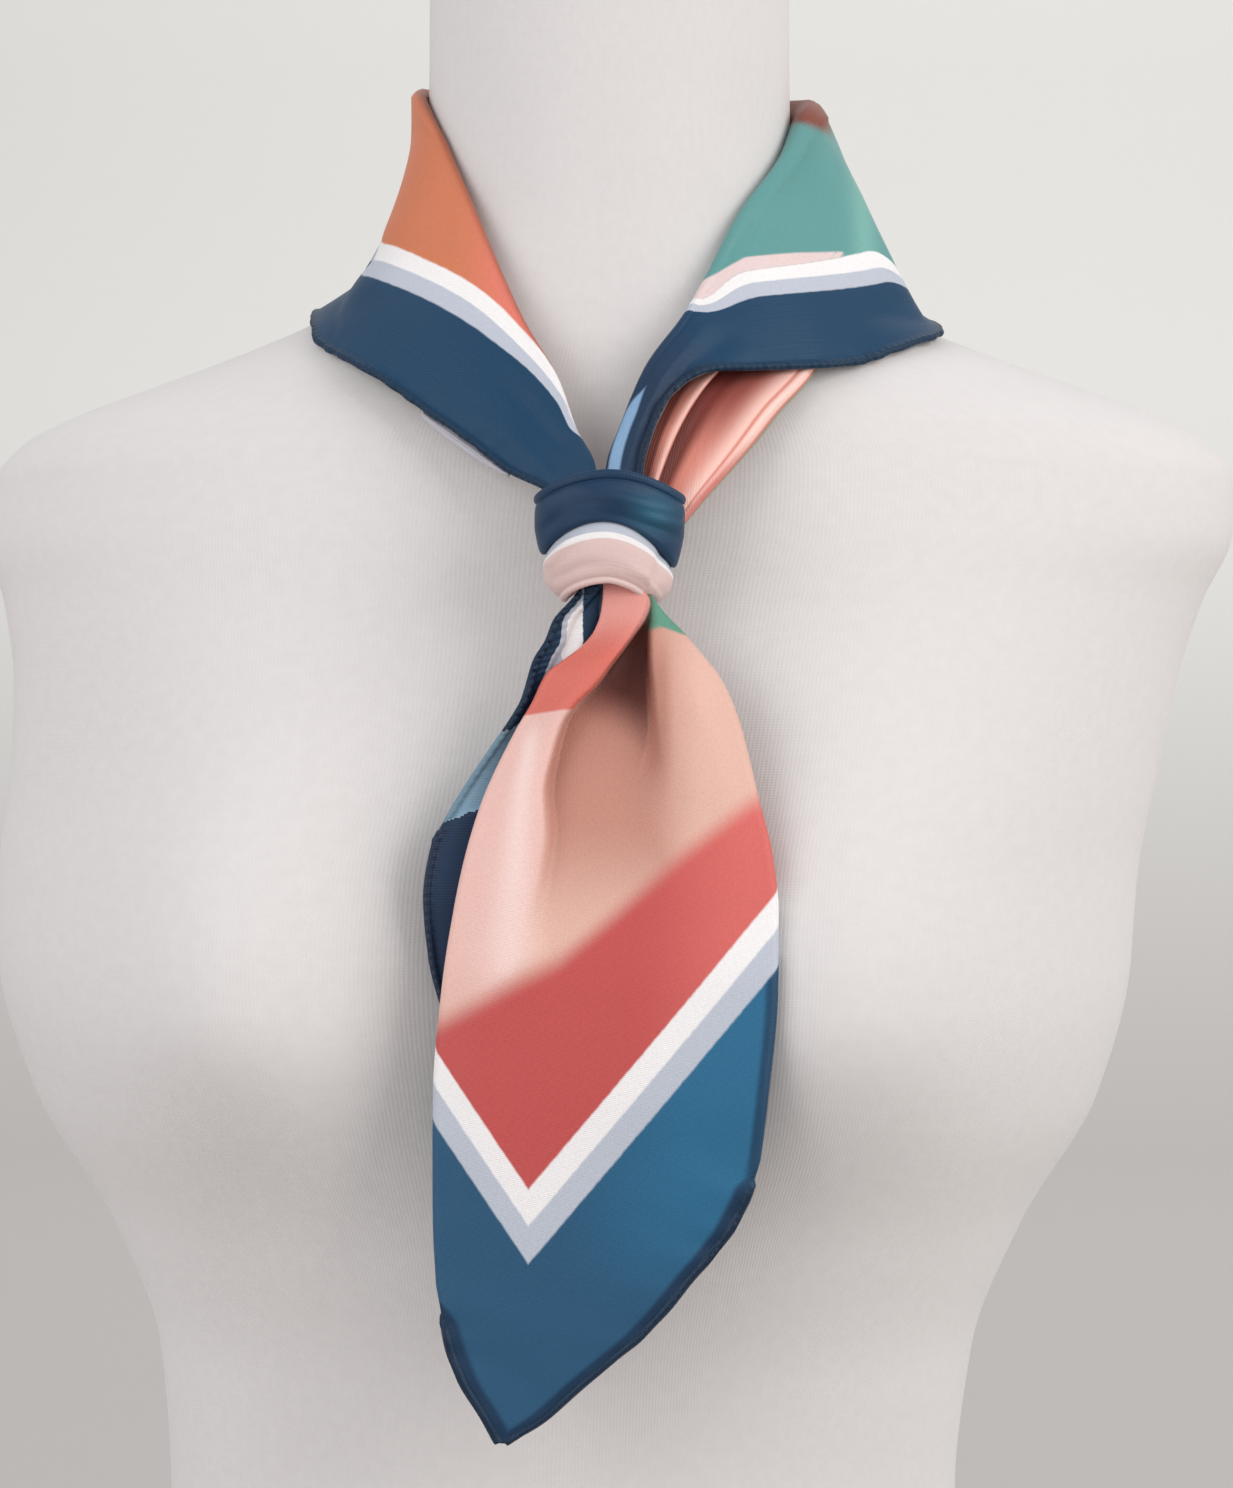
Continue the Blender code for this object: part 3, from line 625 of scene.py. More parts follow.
on_square = print_in.outputs["Place"]
hem, reverse = print_in.outputs["Hem"], print_in.outputs["Reverse"]
place = add_node(silk_print, "ShaderNodeSeparateXYZ", {0: on_square})
wander = work("MULTIPLY_ADD", unevenness(on_square, 0.35), 0.5, -0.25)
from_edge = work("ADD", work("MINIMUM", place.outputs[0], place.outputs[1]), wander)
colour = over(past(NAVY_EDGE, from_edge), print_in.outputs["Border"], LAVENDER)
colour = over(past(LAVENDER_EDGE, from_edge), colour, WHITE)
colour = over(past(WHITE_EDGE, from_edge), colour, print_in.outputs["Field"])
colour = over(past(0.0, print_in.outputs["Apart"]), print_in.outputs["Accent"], colour)
mottle = unevenness(on_square, 0.9, 4.0)
# The dye's mottle, with painted shade darkening the colour along the rolled hems.
dye_and_hem_shade = work("MULTIPLY", work("MULTIPLY_ADD", mottle, 0.16, 0.92), work("MULTIPLY_ADD", hem, -0.42, 1.0))
mottled_and_hem_shaded = add_node(silk_print, "ShaderNodeHueSaturation", {"Value": dye_and_hem_shade, "Color": colour})
paler = over(work("MULTIPLY", reverse, 0.22), mottled_and_hem_shaded.outputs[0], WHITE)
twill = work("MULTIPLY", work("ADD", place.outputs[0], place.outputs[1]), 9.0)
cross_twill = work("MULTIPLY", work("SUBTRACT", place.outputs[0], place.outputs[1]), 3.0)
weave = work("MULTIPLY_ADD", work("SINE", cross_twill), 0.25, work("SINE", twill))
stretched = add_node(silk_print, "ShaderNodeMapping", {"Vector": on_square, "Scale": (0.9, 0.05, 1)})
ripple = unevenness(stretched.outputs[0], 1.0, 3.0)
relief_height = work("MULTIPLY_ADD", ripple, 3.0, work("MULTIPLY", weave, 0.5))
hem_turns = work("SINE", work("MULTIPLY", place.outputs[1], 2.6))
relief_height = work("MULTIPLY_ADD", work("MULTIPLY", hem_turns, hem), 2.0, relief_height)
rough = work("MULTIPLY_ADD", reverse, 0.1, work("MULTIPLY_ADD", mottle, 0.12, 0.36))
silk_print.links.new(paler, print_out.inputs["Colour"])
silk_print.links.new(relief_height, print_out.inputs["Height"])
silk_print.links.new(rough, print_out.inputs["Roughness"])


def silk_material(name):
    """Satin-faced silk twill: the square's print, a fine weave and a soft directional gloss."""
    material, tree, shader = new_material(name)
    dyed = add_node(tree, "ShaderNodeGroup", node_tree=silk_print)
    tree.links.new(add_node(tree, "ShaderNodeUVMap", uv_map="print").outputs[0], dyed.inputs["Place"])
    for label, source, output in (
        ("Field", "field", 0), ("Border", "border", 0), ("Accent", "accent", 0),
        ("Apart", "apart", 2), ("Reverse", "reverse", 2), ("Hem", "hem_near", 2),
    ):
        attribute = add_node(tree, "ShaderNodeAttribute", attribute_name=source)
        tree.links.new(attribute.outputs[output], dyed.inputs[label])
    relief = add_node(tree, "ShaderNodeBump", {
        "Strength": 0.3, "Distance": 0.0002, "Height": dyed.outputs["Height"],
    })
    tree.links.new(dyed.outputs["Colour"], shader.inputs["Base Color"])
    tree.links.new(dyed.outputs["Roughness"], shader.inputs["Roughness"])
    tree.links.new(relief.outputs[0], shader.inputs["Normal"])
    shader.inputs["Specular IOR Level"].default_value = 0.26
    shader.inputs["Anisotropic"].default_value = 0.3
    shader.inputs["Sheen Weight"].default_value = 0.04
    shader.inputs["Sheen Roughness"].default_value = 0.35
    return material


PER_SECTION = 16
grid, print_map, from_hem, _ = collar_grid(LEFT_SECTIONS, PER_SECTION, LEFT_CREASES, LEFT_STRIPES)
near_knot = smooth_step(grid[..., 0], -45, -27)
field = tinted(ORANGE, CORAL_PINK, near_knot * 0.9)
# Painted shade: the stand and the roll inside the fold are mixed with a dark brown.
field = tinted(field, FOLD_SHADE_BROWN, smooth_step(np.arange(grid.shape[1]), 16, 12)[None, :] * 0.6)
paint = {"field": field, "border": NAVY, "accent": WHITE, "apart": NO_ACCENT}
left_wing = silk_wall("left_wing_silk", grid, hem_thickness(from_hem), print_map, paint, from_hem)
left_wing.data.materials.append(silk_material("left_silk"))
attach(left_wing, "root")
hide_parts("left_wing")


# ================================================================ back of the collar
# The same silk round the back of the neck, between the two wings. One corner of the square hangs
# down behind, its two hemmed edges meeting in a point, and the cloth folds over at the top.

BACK_SECTIONS = (
    Section(-56.5, 9, 601.0, -85.5, -8, 527.0, 15, 2.4, 34),
    Section(-52.5, 30, 604.0, -80.0, 30, 531.0, 14, 2.6, 35),
    Section(-38.0, 50, 606.0, -68.0, 64, 519.0, 11, 2.8, 36),
    Section(-19.0, 61, 607.0, -36.0, 86, 500.0, 9, 3.0, 36),
    Section(0.0, 64, 607.0, 0.0, 100, 480.0, 8, 3.0, 36),
    Section(19.0, 62, 606.0, 36.0, 86, 500.0, 8, 3.4, 36),
    Section(38.0, 51, 604.0, 70.0, 64, 519.0, 7, 4.0, 35),
    Section(54.0, 30, 601.0, 85.0, 30, 530.0, 4, 4.8, 34),
    Section(59.5, 8, 597.5, 93.0, -6, 526.0, 3, 5.4, 32),
)
BACK_STRIPES = (
    Stripes(0.0, 25.0, 30.0, 36.0),
    Stripes(2.0, 30.0, 36.5, 42.5),
    Stripes(4.0, 46.0, 55.0, 64.0),
    Stripes(6.0, 30.0, 36.0, 42.0),
    Stripes(7.2, 22.0, 27.0, 32.0),
    Stripes(8.0, 14.5, 18.5, 22.0),
)
BACK_PER_SECTION = 18
BACK_CREASES = (
    ((-46, 560, 8.0, -0.8), (-30, 540, 9.0, -1.6), (-14, 512, 8.0, 0.0)),
    ((-20, 580, 7.0, 0.6), (-10, 548, 8.0, 1.6), (-4, 510, 7.0, 0.0)),
    ((26, 576, 7.0, -0.6), (16, 545, 9.0, -1.5), (7, 505, 8.0, 0.0)),
    ((52, 566, 7.0, 0.6), (38, 542, 8.0, 1.3), (22, 515, 8.0, 0.0)),
)

grid, print_map, from_hem, _ = collar_grid(BACK_SECTIONS, BACK_PER_SECTION, BACK_CREASES, BACK_STRIPES)
across_back = smooth_step(grid[..., 0], -8, 10)
field = tinted(ORANGE, GREEN, across_back)
# Painted shade: at the right end the roll's inside is the print's orange darkened to brown.
shaded_roll = smooth_step(grid[..., 0], 50, 54) * smooth_step(grid[..., 2], 584, 587)
field = tinted(field, ROLL_ORANGE_IN_SHADE, shaded_roll)
paint = {"field": field, "border": NAVY, "accent": WHITE, "apart": NO_ACCENT}
back_point = silk_wall("back_point_silk", grid, hem_thickness(from_hem), print_map, paint, from_hem)
back_point.data.materials.append(silk_material("back_silk"))
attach(back_point, "root")
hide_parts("back_point")


# ================================================================ right wing
# The same silk up to the right side of the neck, seen from in front. It turns over loosely at the
# top, where its roll shows the print's orange darkened to brown as painted shade, and its hem twists
# into a narrow roll on the way to the knot.

RIGHT_SECTIONS = (
    Section(59.5, 8, 597.5, 93.0, -6, 526.0, 3, 5.4, 32),
    Section(57.5, -14, 591.0, 95.5, -34, 519.5, 1, 4.6, 28),
    Section(48.5, -34, 573.0, 80.0, -54, 512.5, -2, 3.2, 20),
    Section(36.5, -52, 553.0, 62.0, -67, 509.0, -4, 2.6, 14),
    Section(27.9, -62, 536.0, 44.0, -75, 507.5, -3, 2.2, 10),
    Section(20.9, -70, 523.5, 28.5, -80, 506.5, -2, 2.0, 7),
    Section(10.2, -80, 508.0, 18.0, -86, 500.0, -1, 1.8, 5),
    Section(3.2, -88, 491.0, 12.0, -91, 488.5, 0, 1.6, 4),
    Section(-0.4, -95, 480.5, 9.6, -97, 479.5, 0, 1.6, 4),
    Section(-1.6, -99, 471.5, 8.6, -101, 470.5, 0, 1.5, 4),
)
RIGHT_STRIPES = (
    Stripes(0.0, 14.5, 18.5, 22.0),
    Stripes(0.9, 18.0, 21.5, 25.0),
    Stripes(1.5, 24.0, 29.0, 34.8),
    Stripes(2.6, 24.5, 29.5, 34.1),
    Stripes(3.4, 24.5, 29.5, 33.7),
    Stripes(4.5, 20.4, 23.2, 25.6),
    Stripes(5.1, 23.0, 27.0, 31.0),
    Stripes(9.0, 30.0, 34.0, 38.0),
)
# The rose stripe above the white one: the section, and its upper line from the hem there.
ROSE_TOP = (
    (0.0, 14.0), (0.9, 18.0), (1.2, 25.0), (1.5, 33.8), (1.8, 36.4), (2.55, 38.0), (3.3, 38.8),
    (4.05, 33.5), (5.1, 33.5), (9.0, 38.2),
)
# The narrow pale-blue strip inside the twist: the section it starts from, and its place from the hem.
TWIST_FROM = 5.8
STRIP_START = 5.9
STRIP_MIDDLE = 8.0
STRIP_HALF = 1.6
PALE_BLUE = srgb_colour(128, 160, 192)
SHADED_NAVY = srgb_colour(28, 52, 78)
RIDGE_HIGHLIGHT_GREEN = srgb_colour(150, 205, 188)
RIGHT_CREASES = (
    ((66, 590, 2.5, 0.6), (73, 566, 3.0, 1.2), (80, 545, 4.0, 0.5)),
    ((56, 575, 6.0, -0.8), (60, 548, 7.0, -1.0), (66, 526, 7.0, 0.0)),
    ((84, 530, 4.0, -0.9), (72, 524, 6.0, -0.9), (56, 522, 7.0, 0.0)),
    (
        (32, 516, 3.0, -0.7), (22, 508, 2.2, -1.1), (13, 496, 1.6, -0.8), (8, 484, 1.4, -0.5),
        (6.5, 473, 1.2, -0.4),
    ),
    (
        (38, 512, 3.0, 0.6), (26, 505, 2.0, 0.9), (16, 495, 1.3, 0.9), (10.5, 484, 1.1, 0.7),
        (9, 473, 1.0, 0.4),
    ),
    ((26, 520, 2.2, 0.4), (15, 506, 1.4, 0.7), (7.5, 490, 1.0, 0.6), (4.0, 478, 0.9, 0.4)),
)

grid, print_map, from_hem, places = collar_grid(RIGHT_SECTIONS, PER_SECTION, RIGHT_CREASES, RIGHT_STRIPES)
across, up = grid[..., 0], grid[..., 2]
on_roll = smooth_step(np.arange(grid.shape[1]), 21, 16)[None, :]
# Painted shade: in the cap of the roll the print's orange is darkened to brown.
shaded_cap = on_roll * smooth_step(up + 0.25 * (across - 58), 583.5, 586.5)
field = tinted(GREEN, ROLL_ORANGE_IN_SHADE, shaded_cap)
# Painted highlight: a paler green along the crease's ridge.
field = tinted(field, RIDGE_HIGHLIGHT_GREEN, 0.35 * np.exp(-(((across - 74) / 4) ** 2)))
white_top = read_table(RIGHT_STRIPES, places)[:, 2:3]
rose_top = np.interp(places, *np.array(ROSE_TOP).T)[:, None]
rose_apart = np.maximum(from_hem - rose_top, white_top - from_hem)
rose_apart = rose_apart + 3 * smooth_step(places, 1.95, 1.5)[:, None]
strip_fade = smooth_step(places, STRIP_START, STRIP_START + 0.9)[:, None]
strip_apart = np.abs(from_hem - STRIP_MIDDLE) - STRIP_HALF * strip_fade + (1 - strip_fade)
in_twist = np.broadcast_to(places[:, None] > TWIST_FROM, from_hem.shape)
# Painted shade: the navy border darkens where the hem twists into its narrow roll.
twist_shade = np.broadcast_to(smooth_step(places, 4.6, 6.2)[:, None], from_hem.shape)
paint = {
    "field": field,
    "border": tinted(NAVY, SHADED_NAVY, twist_shade),
    "accent": tinted(ROSE_STRIPE, PALE_BLUE, in_twist),
    "apart": np.where(in_twist, strip_apart, rose_apart),
}
right_wing = silk_wall("right_wing_silk", grid, hem_thickness(from_hem), print_map, paint, from_hem)
right_wing.data.materials.append(silk_material("right_silk"))
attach(right_wing, "root")
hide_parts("right_wing")


# ================================================================ pleats under the right wing
# The inner part of the right wing's cloth, in the print's salmon. The knot gathers it into a few
# flat pleats, which open out under the wing's hem. Nothing is sewn: the knot alone holds them.

Pleated = namedtuple("Pleated", "inner_x inner_y inner_z outer_x outer_y outer_z pleat")
UNDER_SECTIONS = (
    Pleated(7.0, -97, 464.0, 19.5, -95, 462.0, 0.5),
    Pleated(7.6, -95, 473.0, 26.5, -92, 470.5, 0.8),
    Pleated(9.4, -91, 483.0, 33.8, -86, 478.8, 1.0),
    Pleated(12.8, -84, 494.0, 40.8, -80, 487.0, 1.1),
    Pleated(18.0, -76, 504.0, 47.8, -75, 496.0, 1.1),
    Pleated(25.0, -69, 512.5, 55.4, -68, 504.5, 0.9),
    Pleated(31.0, -64.5, 519.0, 61.0, -61.5, 512.0, 0.6),
)
# Across the pleats from the inner edge: place, rise off the form, and how lit the cloth is there,
# painted into its salmon from shade to light.
Pleat = namedtuple("Pleat", "place rise shade")
PLEATS = (
    Pleat(0.00, 0.0, 0.0), Pleat(0.10, 0.4, 0.05), Pleat(0.15, 1.4, 0.4), Pleat(0.225, 2.8, 0.8),
    Pleat(0.245, 2.2, 0.5), Pleat(0.27, -0.8, 0.0), Pleat(0.38, -0.8, 0.05), Pleat(0.50, 1.2, 0.45),
    Pleat(0.64, 2.6, 0.66), Pleat(0.78, 3.4, 0.86), Pleat(0.82, 3.0, 0.55), Pleat(0.86, 3.3, 1.0),
    Pleat(0.93, 2.0, 0.85), Pleat(0.965, 0.8, 0.4), Pleat(1.0, 0.2, 0.3),
)
SALMON_LIT_AND_SHADED = (srgb_colour(104, 48, 40), srgb_colour(212, 134, 118), srgb_colour(246, 204, 192))
LEAF_GREEN = srgb_colour(108, 158, 132)
SHADED_SALMON = srgb_colour(138, 66, 60)
EDGE_CORAL = srgb_colour(206, 104, 98)

UNDER_ALONG = 70
UNDER_ACROSS = 110

places = np.linspace(0, len(UNDER_SECTIONS) - 1, UNDER_ALONG)
rows = eased(range(len(UNDER_SECTIONS)), UNDER_SECTIONS, places)
across = np.linspace(0, 1, UNDER_ACROSS)
grid = rows[:, None, 0:3] * (1 - across[None, :, None]) + rows[:, None, 3:6] * across[None, :, None]
pleats = read_table(PLEATS, across)
wavering = 1 + 0.12 * np.sin(places[:, None] * 1.9 + across[None, :] * 5)
grid = laid_on_form(grid, LAY_GAP)
grid = grid + unit(grid * (1, 1, 0.0)) * (pleats[:, 0] * rows[:, 6:7] * wavering)[..., None]
shade = pleats[:, 1]
salmon_in_shade, middle_tone, salmon_in_light = (np.array(tone) for tone in SALMON_LIT_AND_SHADED)
# Painted light and shade: the pleats' hollows are dark salmon and their ridges light.
field = np.where(
    (shade < 0.5)[:, None],
    tinted(salmon_in_shade, middle_tone, smooth_step(shade, 0.0, 0.5)),
    tinted(middle_tone, salmon_in_light, smooth_step(shade, 0.5, 1.0)),
)
field = np.broadcast_to(field, (*grid.shape[:2], 4))
# Painted shadow of the wing's hem over the upper part of the pleats.
wing_hem_shadow = smooth_step(places, 1.8, 4.2)[:, None]
field = tinted(field, SHADED_SALMON, 0.85 * wing_hem_shadow * ramp(across, 0.25, 0.42, 0.55, 0.8))
near_knot = smooth_step(places, 3.4, 1.4)[:, None]
field = tinted(field, EDGE_CORAL, 0.8 * near_knot * ramp(across, 0.8, 0.9, 0.93, 0.97))
print_map = np.stack([np.full(grid.shape[:2], FAR_INSIDE), 120 + run_length(grid)], axis=-1)
paint = {"field": field, "border": NAVY, "accent": LEAF_GREEN, "apart": (0.988 - across)[None, :] * 40}
under_fold = silk_wall("under_fold_silk", grid, SILK, print_map, paint, NO_HEM)
under_fold.data.materials.append(silk_material("under_fold_silk_twill"))
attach(under_fold, "root")
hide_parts("right_under_fold")


# ================================================================ hem under the left wing
# A second edge of the square, rolled like the first. It lies under the left wing's hem, pressed
# between the wing and the form, and shows as a narrow pale line.

SLIVER_ROWS = (2, 3, 4)
SLIVER_SHOWS = 2.5
SLIVER_WIDTH = 11.0
PALE_HEM = srgb_colour(234, 230, 238)

SLIVER_BEHIND = 2.2
SLIVER_ALONG = 60

chosen = [LEFT_SECTIONS[index] for index in SLIVER_ROWS]
rows = eased(range(len(chosen)), chosen, np.linspace(0, len(chosen) - 1, SLIVER_ALONG))
fold, wing_hem = rows[:, 0:3], rows[:, 3:6]
down = unit(wing_hem - fold)
taper = np.sin(np.linspace(0.12, math.pi - 0.25, SLIVER_ALONG)) ** 0.5
hidden = np.linspace(-SLIVER_WIDTH, SLIVER_SHOWS - 2 * HEM_ROLL, 14)
offsets = np.concatenate([hidden, SLIVER_SHOWS - HEM_STEPS[::-1]])
shown = np.where(offsets > 0, offsets[None, :] * taper[:, None], offsets[None, :])
grid = wing_hem[:, None, :] + down[:, None, :] * shown[..., None]
grid[..., 1] += SLIVER_BEHIND
grid = laid_on_form(grid, 0.9 * LAY_GAP)
from_hem = np.broadcast_to(SLIVER_SHOWS - offsets, grid.shape[:2])
print_map = np.stack([np.full(grid.shape[:2], FAR_INSIDE), 120 + run_length(grid)], axis=-1)
paint = {"field": PALE_HEM, "border": NAVY, "accent": WHITE, "apart": NO_ACCENT}
under_hem = silk_wall("under_hem_silk", grid, hem_thickness(from_hem) * 0.7, print_map, paint, from_hem)
under_hem.data.materials.append(silk_material("under_hem_silk_twill"))
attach(under_hem, "root")
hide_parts("left_under_hem")


# ================================================================ knot band
# One turn of the cloth round everything gathered at the throat. Its navy border lies above, over
# the pale inside of the print, which bulges out below it and ends in a rolled double edge.

KNOT_Y = -101.0
# The band's plain form: half its width and half its depth at each height.
BandRing = namedtuple("BandRing", "height half_width half_depth")
BAND_RINGS = (
    BandRing(438.0, 10.4, 9.8),
    BandRing(441.0, 12.4, 11.0),
    BandRing(444.0, 14.6, 12.0),
    BandRing(448.5, 16.6, 12.8),
    BandRing(454.0, 17.8, 13.3),
    BandRing(460.0, 18.9, 13.7),
    BandRing(467.0, 19.7, 13.9),
    BandRing(472.0, 19.8, 13.6),
    BandRing(478.0, 19.4, 13.0),
)
RIM_HEIGHT = 470.2
RIM_LIFT = 6.2
ARC_TOP = 463.2
# Down the band from inside its top rim: the part of the way to the fold (below 1) or past it,
# how far along in millimetres on top of that, and the step out from the band's plain form.
BandRow = namedtuple("BandRow", "part drop out printed")
BAND_ROWS = (
    BandRow(0, 6.5, -2.6, 0), BandRow(0, 3.6, -2.3, 0), BandRow(0, 1.8, -2.0, 0),
    BandRow(0, 0.5, -1.5, 0), BandRow(0, -0.3, -0.7, 0), BandRow(0, -0.3, 0.1, 0),
    BandRow(0, 0.5, 0.55, 0), BandRow(0, 1.4, 0.4, 2), BandRow(0, 2.0, -0.15, 4),
    BandRow(0, 2.7, 0.1, 6), BandRow(0.3, 2.0, 0.7, 10), BandRow(0.5, 1.2, 0.95, 15),
    BandRow(0.7, 0.7, 0.9, 20), BandRow(0.85, 0.4, 0.8, 25), BandRow(0.97, 0, 0.55, 29),
    BandRow(1.0, 0.1, 0.0, 32), BandRow(1.0, -0.1, -0.75, 33), BandRow(1.0, 0.5, -0.95, 33.7),
    BandRow(1.06, 0.6, -0.55, 36), BandRow(1.16, 0.6, 0.1, 41), BandRow(1.25, 0.5, 0.5, 47),
    BandRow(1.4, 0.4, 0.9, 52), BandRow(1.58, 0.2, 1.0, 58), BandRow(1.74, 0, 0.6, 63),
    BandRow(1.86, 0, -0.1, 67), BandRow(1.91, 0, -0.7, 69), BandRow(1.94, 0, -0.55, 70),
    BandRow(1.97, 0, -0.35, 71), BandRow(2.0, 0, -0.6, 72), BandRow(2.0, 0.1, -1.1, 73),
    BandRow(2.0, -0.7, -1.6, 74), BandRow(2.0, -2.2, -2.2, 76), BandRow(2.0, -5.0, -2.8, 80),
)
BAND_CREASES = (
    ((-13, 473, 1.6, 0.0), (-2, 470, 1.8, 0.5), (9, 467.5, 1.7, 0.9), (19, 466, 1.6, 0.5)),
    ((-9, 466, 1.6, 0.0), (4, 464, 1.6, -0.6), (14, 461, 1.5, -0.8), (19, 459, 1.4, -0.3)),
    ((-17, 462, 1.8, -0.5), (-10, 467, 1.6, -0.4), (0, 469, 1.4, 0.0)),
    ((2, 467, 1.2, 0.0), (12, 463.5, 1.3, 0.5), (19, 462, 1.2, 0.4)),
    ((-16, 452, 1.2, 0.5), (-11, 457, 1.3, 0.6), (-4, 460, 1.2, 0.0)),
    ((-15, 448, 1.5, -0.4), (-7, 451, 1.8, -0.4), (2, 452, 1.8, 0.0)),
    ((14, 455, 1.4, -0.4), (13, 449, 1.4, -0.6), (10, 444.5, 1.2, -0.2)),
    ((4, 451, 1.4, 0.0), (10, 448, 1.2, 0.4), (13, 443, 1.0, 0.3)),
)
BAND_CREASE_DEPTH = 1.6
KNOT_PINK = srgb_colour(220, 192, 187)
KNOT_NAVY = srgb_colour(24, 54, 82)
KNOT_HIGHLIGHT_TEAL = srgb_colour(52, 112, 136)
BAND_COLUMNS = 220

BAND_LEVELS = 150
# The fold between navy and pale arches over the front; the lower rolled edge sags to the right.
ARCH_HALF = 17.0
ARCH_DROP = 10.0
BOTTOM_HEIGHT = 446.6
ROLLED_EDGE_PINK = srgb_colour(214, 168, 158)

angles = np.arange(BAND_COLUMNS) * 2 * math.pi / BAND_COLUMNS
keys = np.linspace(0, len(BAND_ROWS) - 1, BAND_LEVELS)
profile = eased(range(len(BAND_ROWS)), BAND_ROWS, keys)
frontness = np.clip(-np.sin(angles), 0, 1) ** 2
rim = RIM_HEIGHT + RIM_LIFT * frontness
arc = ARC_TOP - ARCH_DROP * (np.cos(angles) + 1.5 / ARCH_HALF) ** 2
low_x = 11.5 * np.cos(angles)
bottom = BOTTOM_HEIGHT - 0.035 * low_x**2 - 0.2 * np.clip(low_x, 0, None)
part = profile[:, 0:1]
upper = rim + (arc - rim) * np.clip(part, 0, 1)
height = upper + (bottom - arc) * np.clip(part - 1, 0, 1) - profile[:, 1:2]
sizes = read_table(BAND_RINGS, height.ravel())
half_width, half_depth = (column.reshape(height.shape) + profile[:, 2:3] for column in sizes.T)
uneven = 1 + 0.012 * np.sin(2 * angles + 0.8) + 0.01 * np.sin(3 * angles + 2.0)
x, y = half_width * np.cos(angles) * uneven, half_depth * np.sin(angles) * uneven
grid = np.stack([x, y, height], axis=-1)
outward = np.stack([np.cos(angles), np.sin(angles), np.zeros_like(angles)], axis=-1)[None]
facing = np.clip(-np.sin(angles) * 3, 0, 1)[None, :, None] * smooth_step(keys, 6, 9)[:, None, None]
grid = press(grid, BAND_CREASES, outward * facing * BAND_CREASE_DEPTH)
grid[..., 1] += KNOT_Y
around = np.broadcast_to(angles[None, :] * 16 + 200, height.shape)
print_map = np.stack([np.broadcast_to(profile[:, 3:4], height.shape), around], axis=-1)
# Painted highlight: the navy border turns teal on the band's right, where its folds catch the light.
teal_highlight = np.exp(-(((grid[..., 0] - 12) / 6) ** 2) - (((grid[..., 2] - 465) / 5) ** 2))
# Painted shade: the band's inside under its top rim is a darker navy.
shaded_inside_top = np.broadcast_to(smooth_step(keys, 5, 3)[:, None], height.shape)
rolled_edge = np.broadcast_to(smooth_step(keys, 27, 30)[:, None], height.shape)
paint = {
    "field": tinted(KNOT_PINK, ROLLED_EDGE_PINK, 0.5 * rolled_edge),
    "border": tinted(tinted(KNOT_NAVY, KNOT_HIGHLIGHT_TEAL, teal_highlight * 0.6), SHADED_NAVY, shaded_inside_top),
    "accent": WHITE, "apart": NO_ACCENT,
}
knot_band = silk_wall(
    "knot_band_silk", grid, SILK, print_map, paint, NO_HEM, closed=True, about=(0, KNOT_Y, 0),
)
knot_band.data.materials.append(silk_material("knot_silk"))
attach(knot_band, "root")
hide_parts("knot_band")


# ================================================================ cloth gathered in the knot
# The ends of every stretch, bunched together and held tight by the band round them. Only soft folds
# in shadow show, in the gaps over and under the band.

CORE_LOW = 449.5
CORE_HIGH = 470.0
CORE_FOLDS = 7
CORE_INSET = 4.4
CORE_AROUND = 120
CORE_LEVELS = 26
CORE_SHADED_SALMON = srgb_colour(150, 84, 74)

angles = np.arange(CORE_AROUND) * 2 * math.pi / CORE_AROUND
heights = np.linspace(CORE_LOW, CORE_HIGH, CORE_LEVELS)
sizes = read_table(BAND_RINGS, heights)
folds = 1 + 0.05 * np.sin(CORE_FOLDS * angles + 0.6 * np.sin(2 * angles))
core = [
    np.column_stack([
        (size[0] - CORE_INSET) * np.cos(angles) * folds,
        (size[1] - CORE_INSET) * np.sin(angles) * folds + KNOT_Y,
        np.full_like(angles, level),
    ])
    for level, size in zip(heights, sizes)
]
core_top = core[-1] - (0, KNOT_Y, 0)
for shrink, rise in ((0.85, 1.0), (0.6, 1.7), (0.3, 2.0), (0.03, 2.1)):
    core.append(core_top * (shrink, shrink, 1) + (0, KNOT_Y, rise))
core_points = in_frame(turned(np.array(core).reshape(-1, 3)))
gathered = plain_mesh("gathered_silk", core_points, stack_faces(len(core), CORE_AROUND))
gathered_silk, tree, shader = new_material("gathered_silk_twill")
streak_map = add_node(tree, "ShaderNodeTexCoord")
streaks = add_node(tree, "ShaderNodeTexNoise", {
    "Vector": streak_map.outputs["Object"], "Scale": 180.0, "Detail": 3.0,
})
# Painted shade: the gathered cloth is streaked in darkened navy and salmon, as it lies in shadow.
streaked = blend_colour(tree, streaks.outputs[0], SHADED_NAVY, CORE_SHADED_SALMON)
tree.links.new(streaked, shader.inputs["Base Color"])
shader.inputs["Roughness"].default_value = 0.5
gathered.data.materials.append(gathered_silk)
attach(gathered, "root")
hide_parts("knot_core")


# ================================================================ front tail
# The long corner of the square that comes out under the knot and hangs in front. The knot pinches
# it into a flat strap over a deep hollow; below, it opens out to the border's mitred corner.

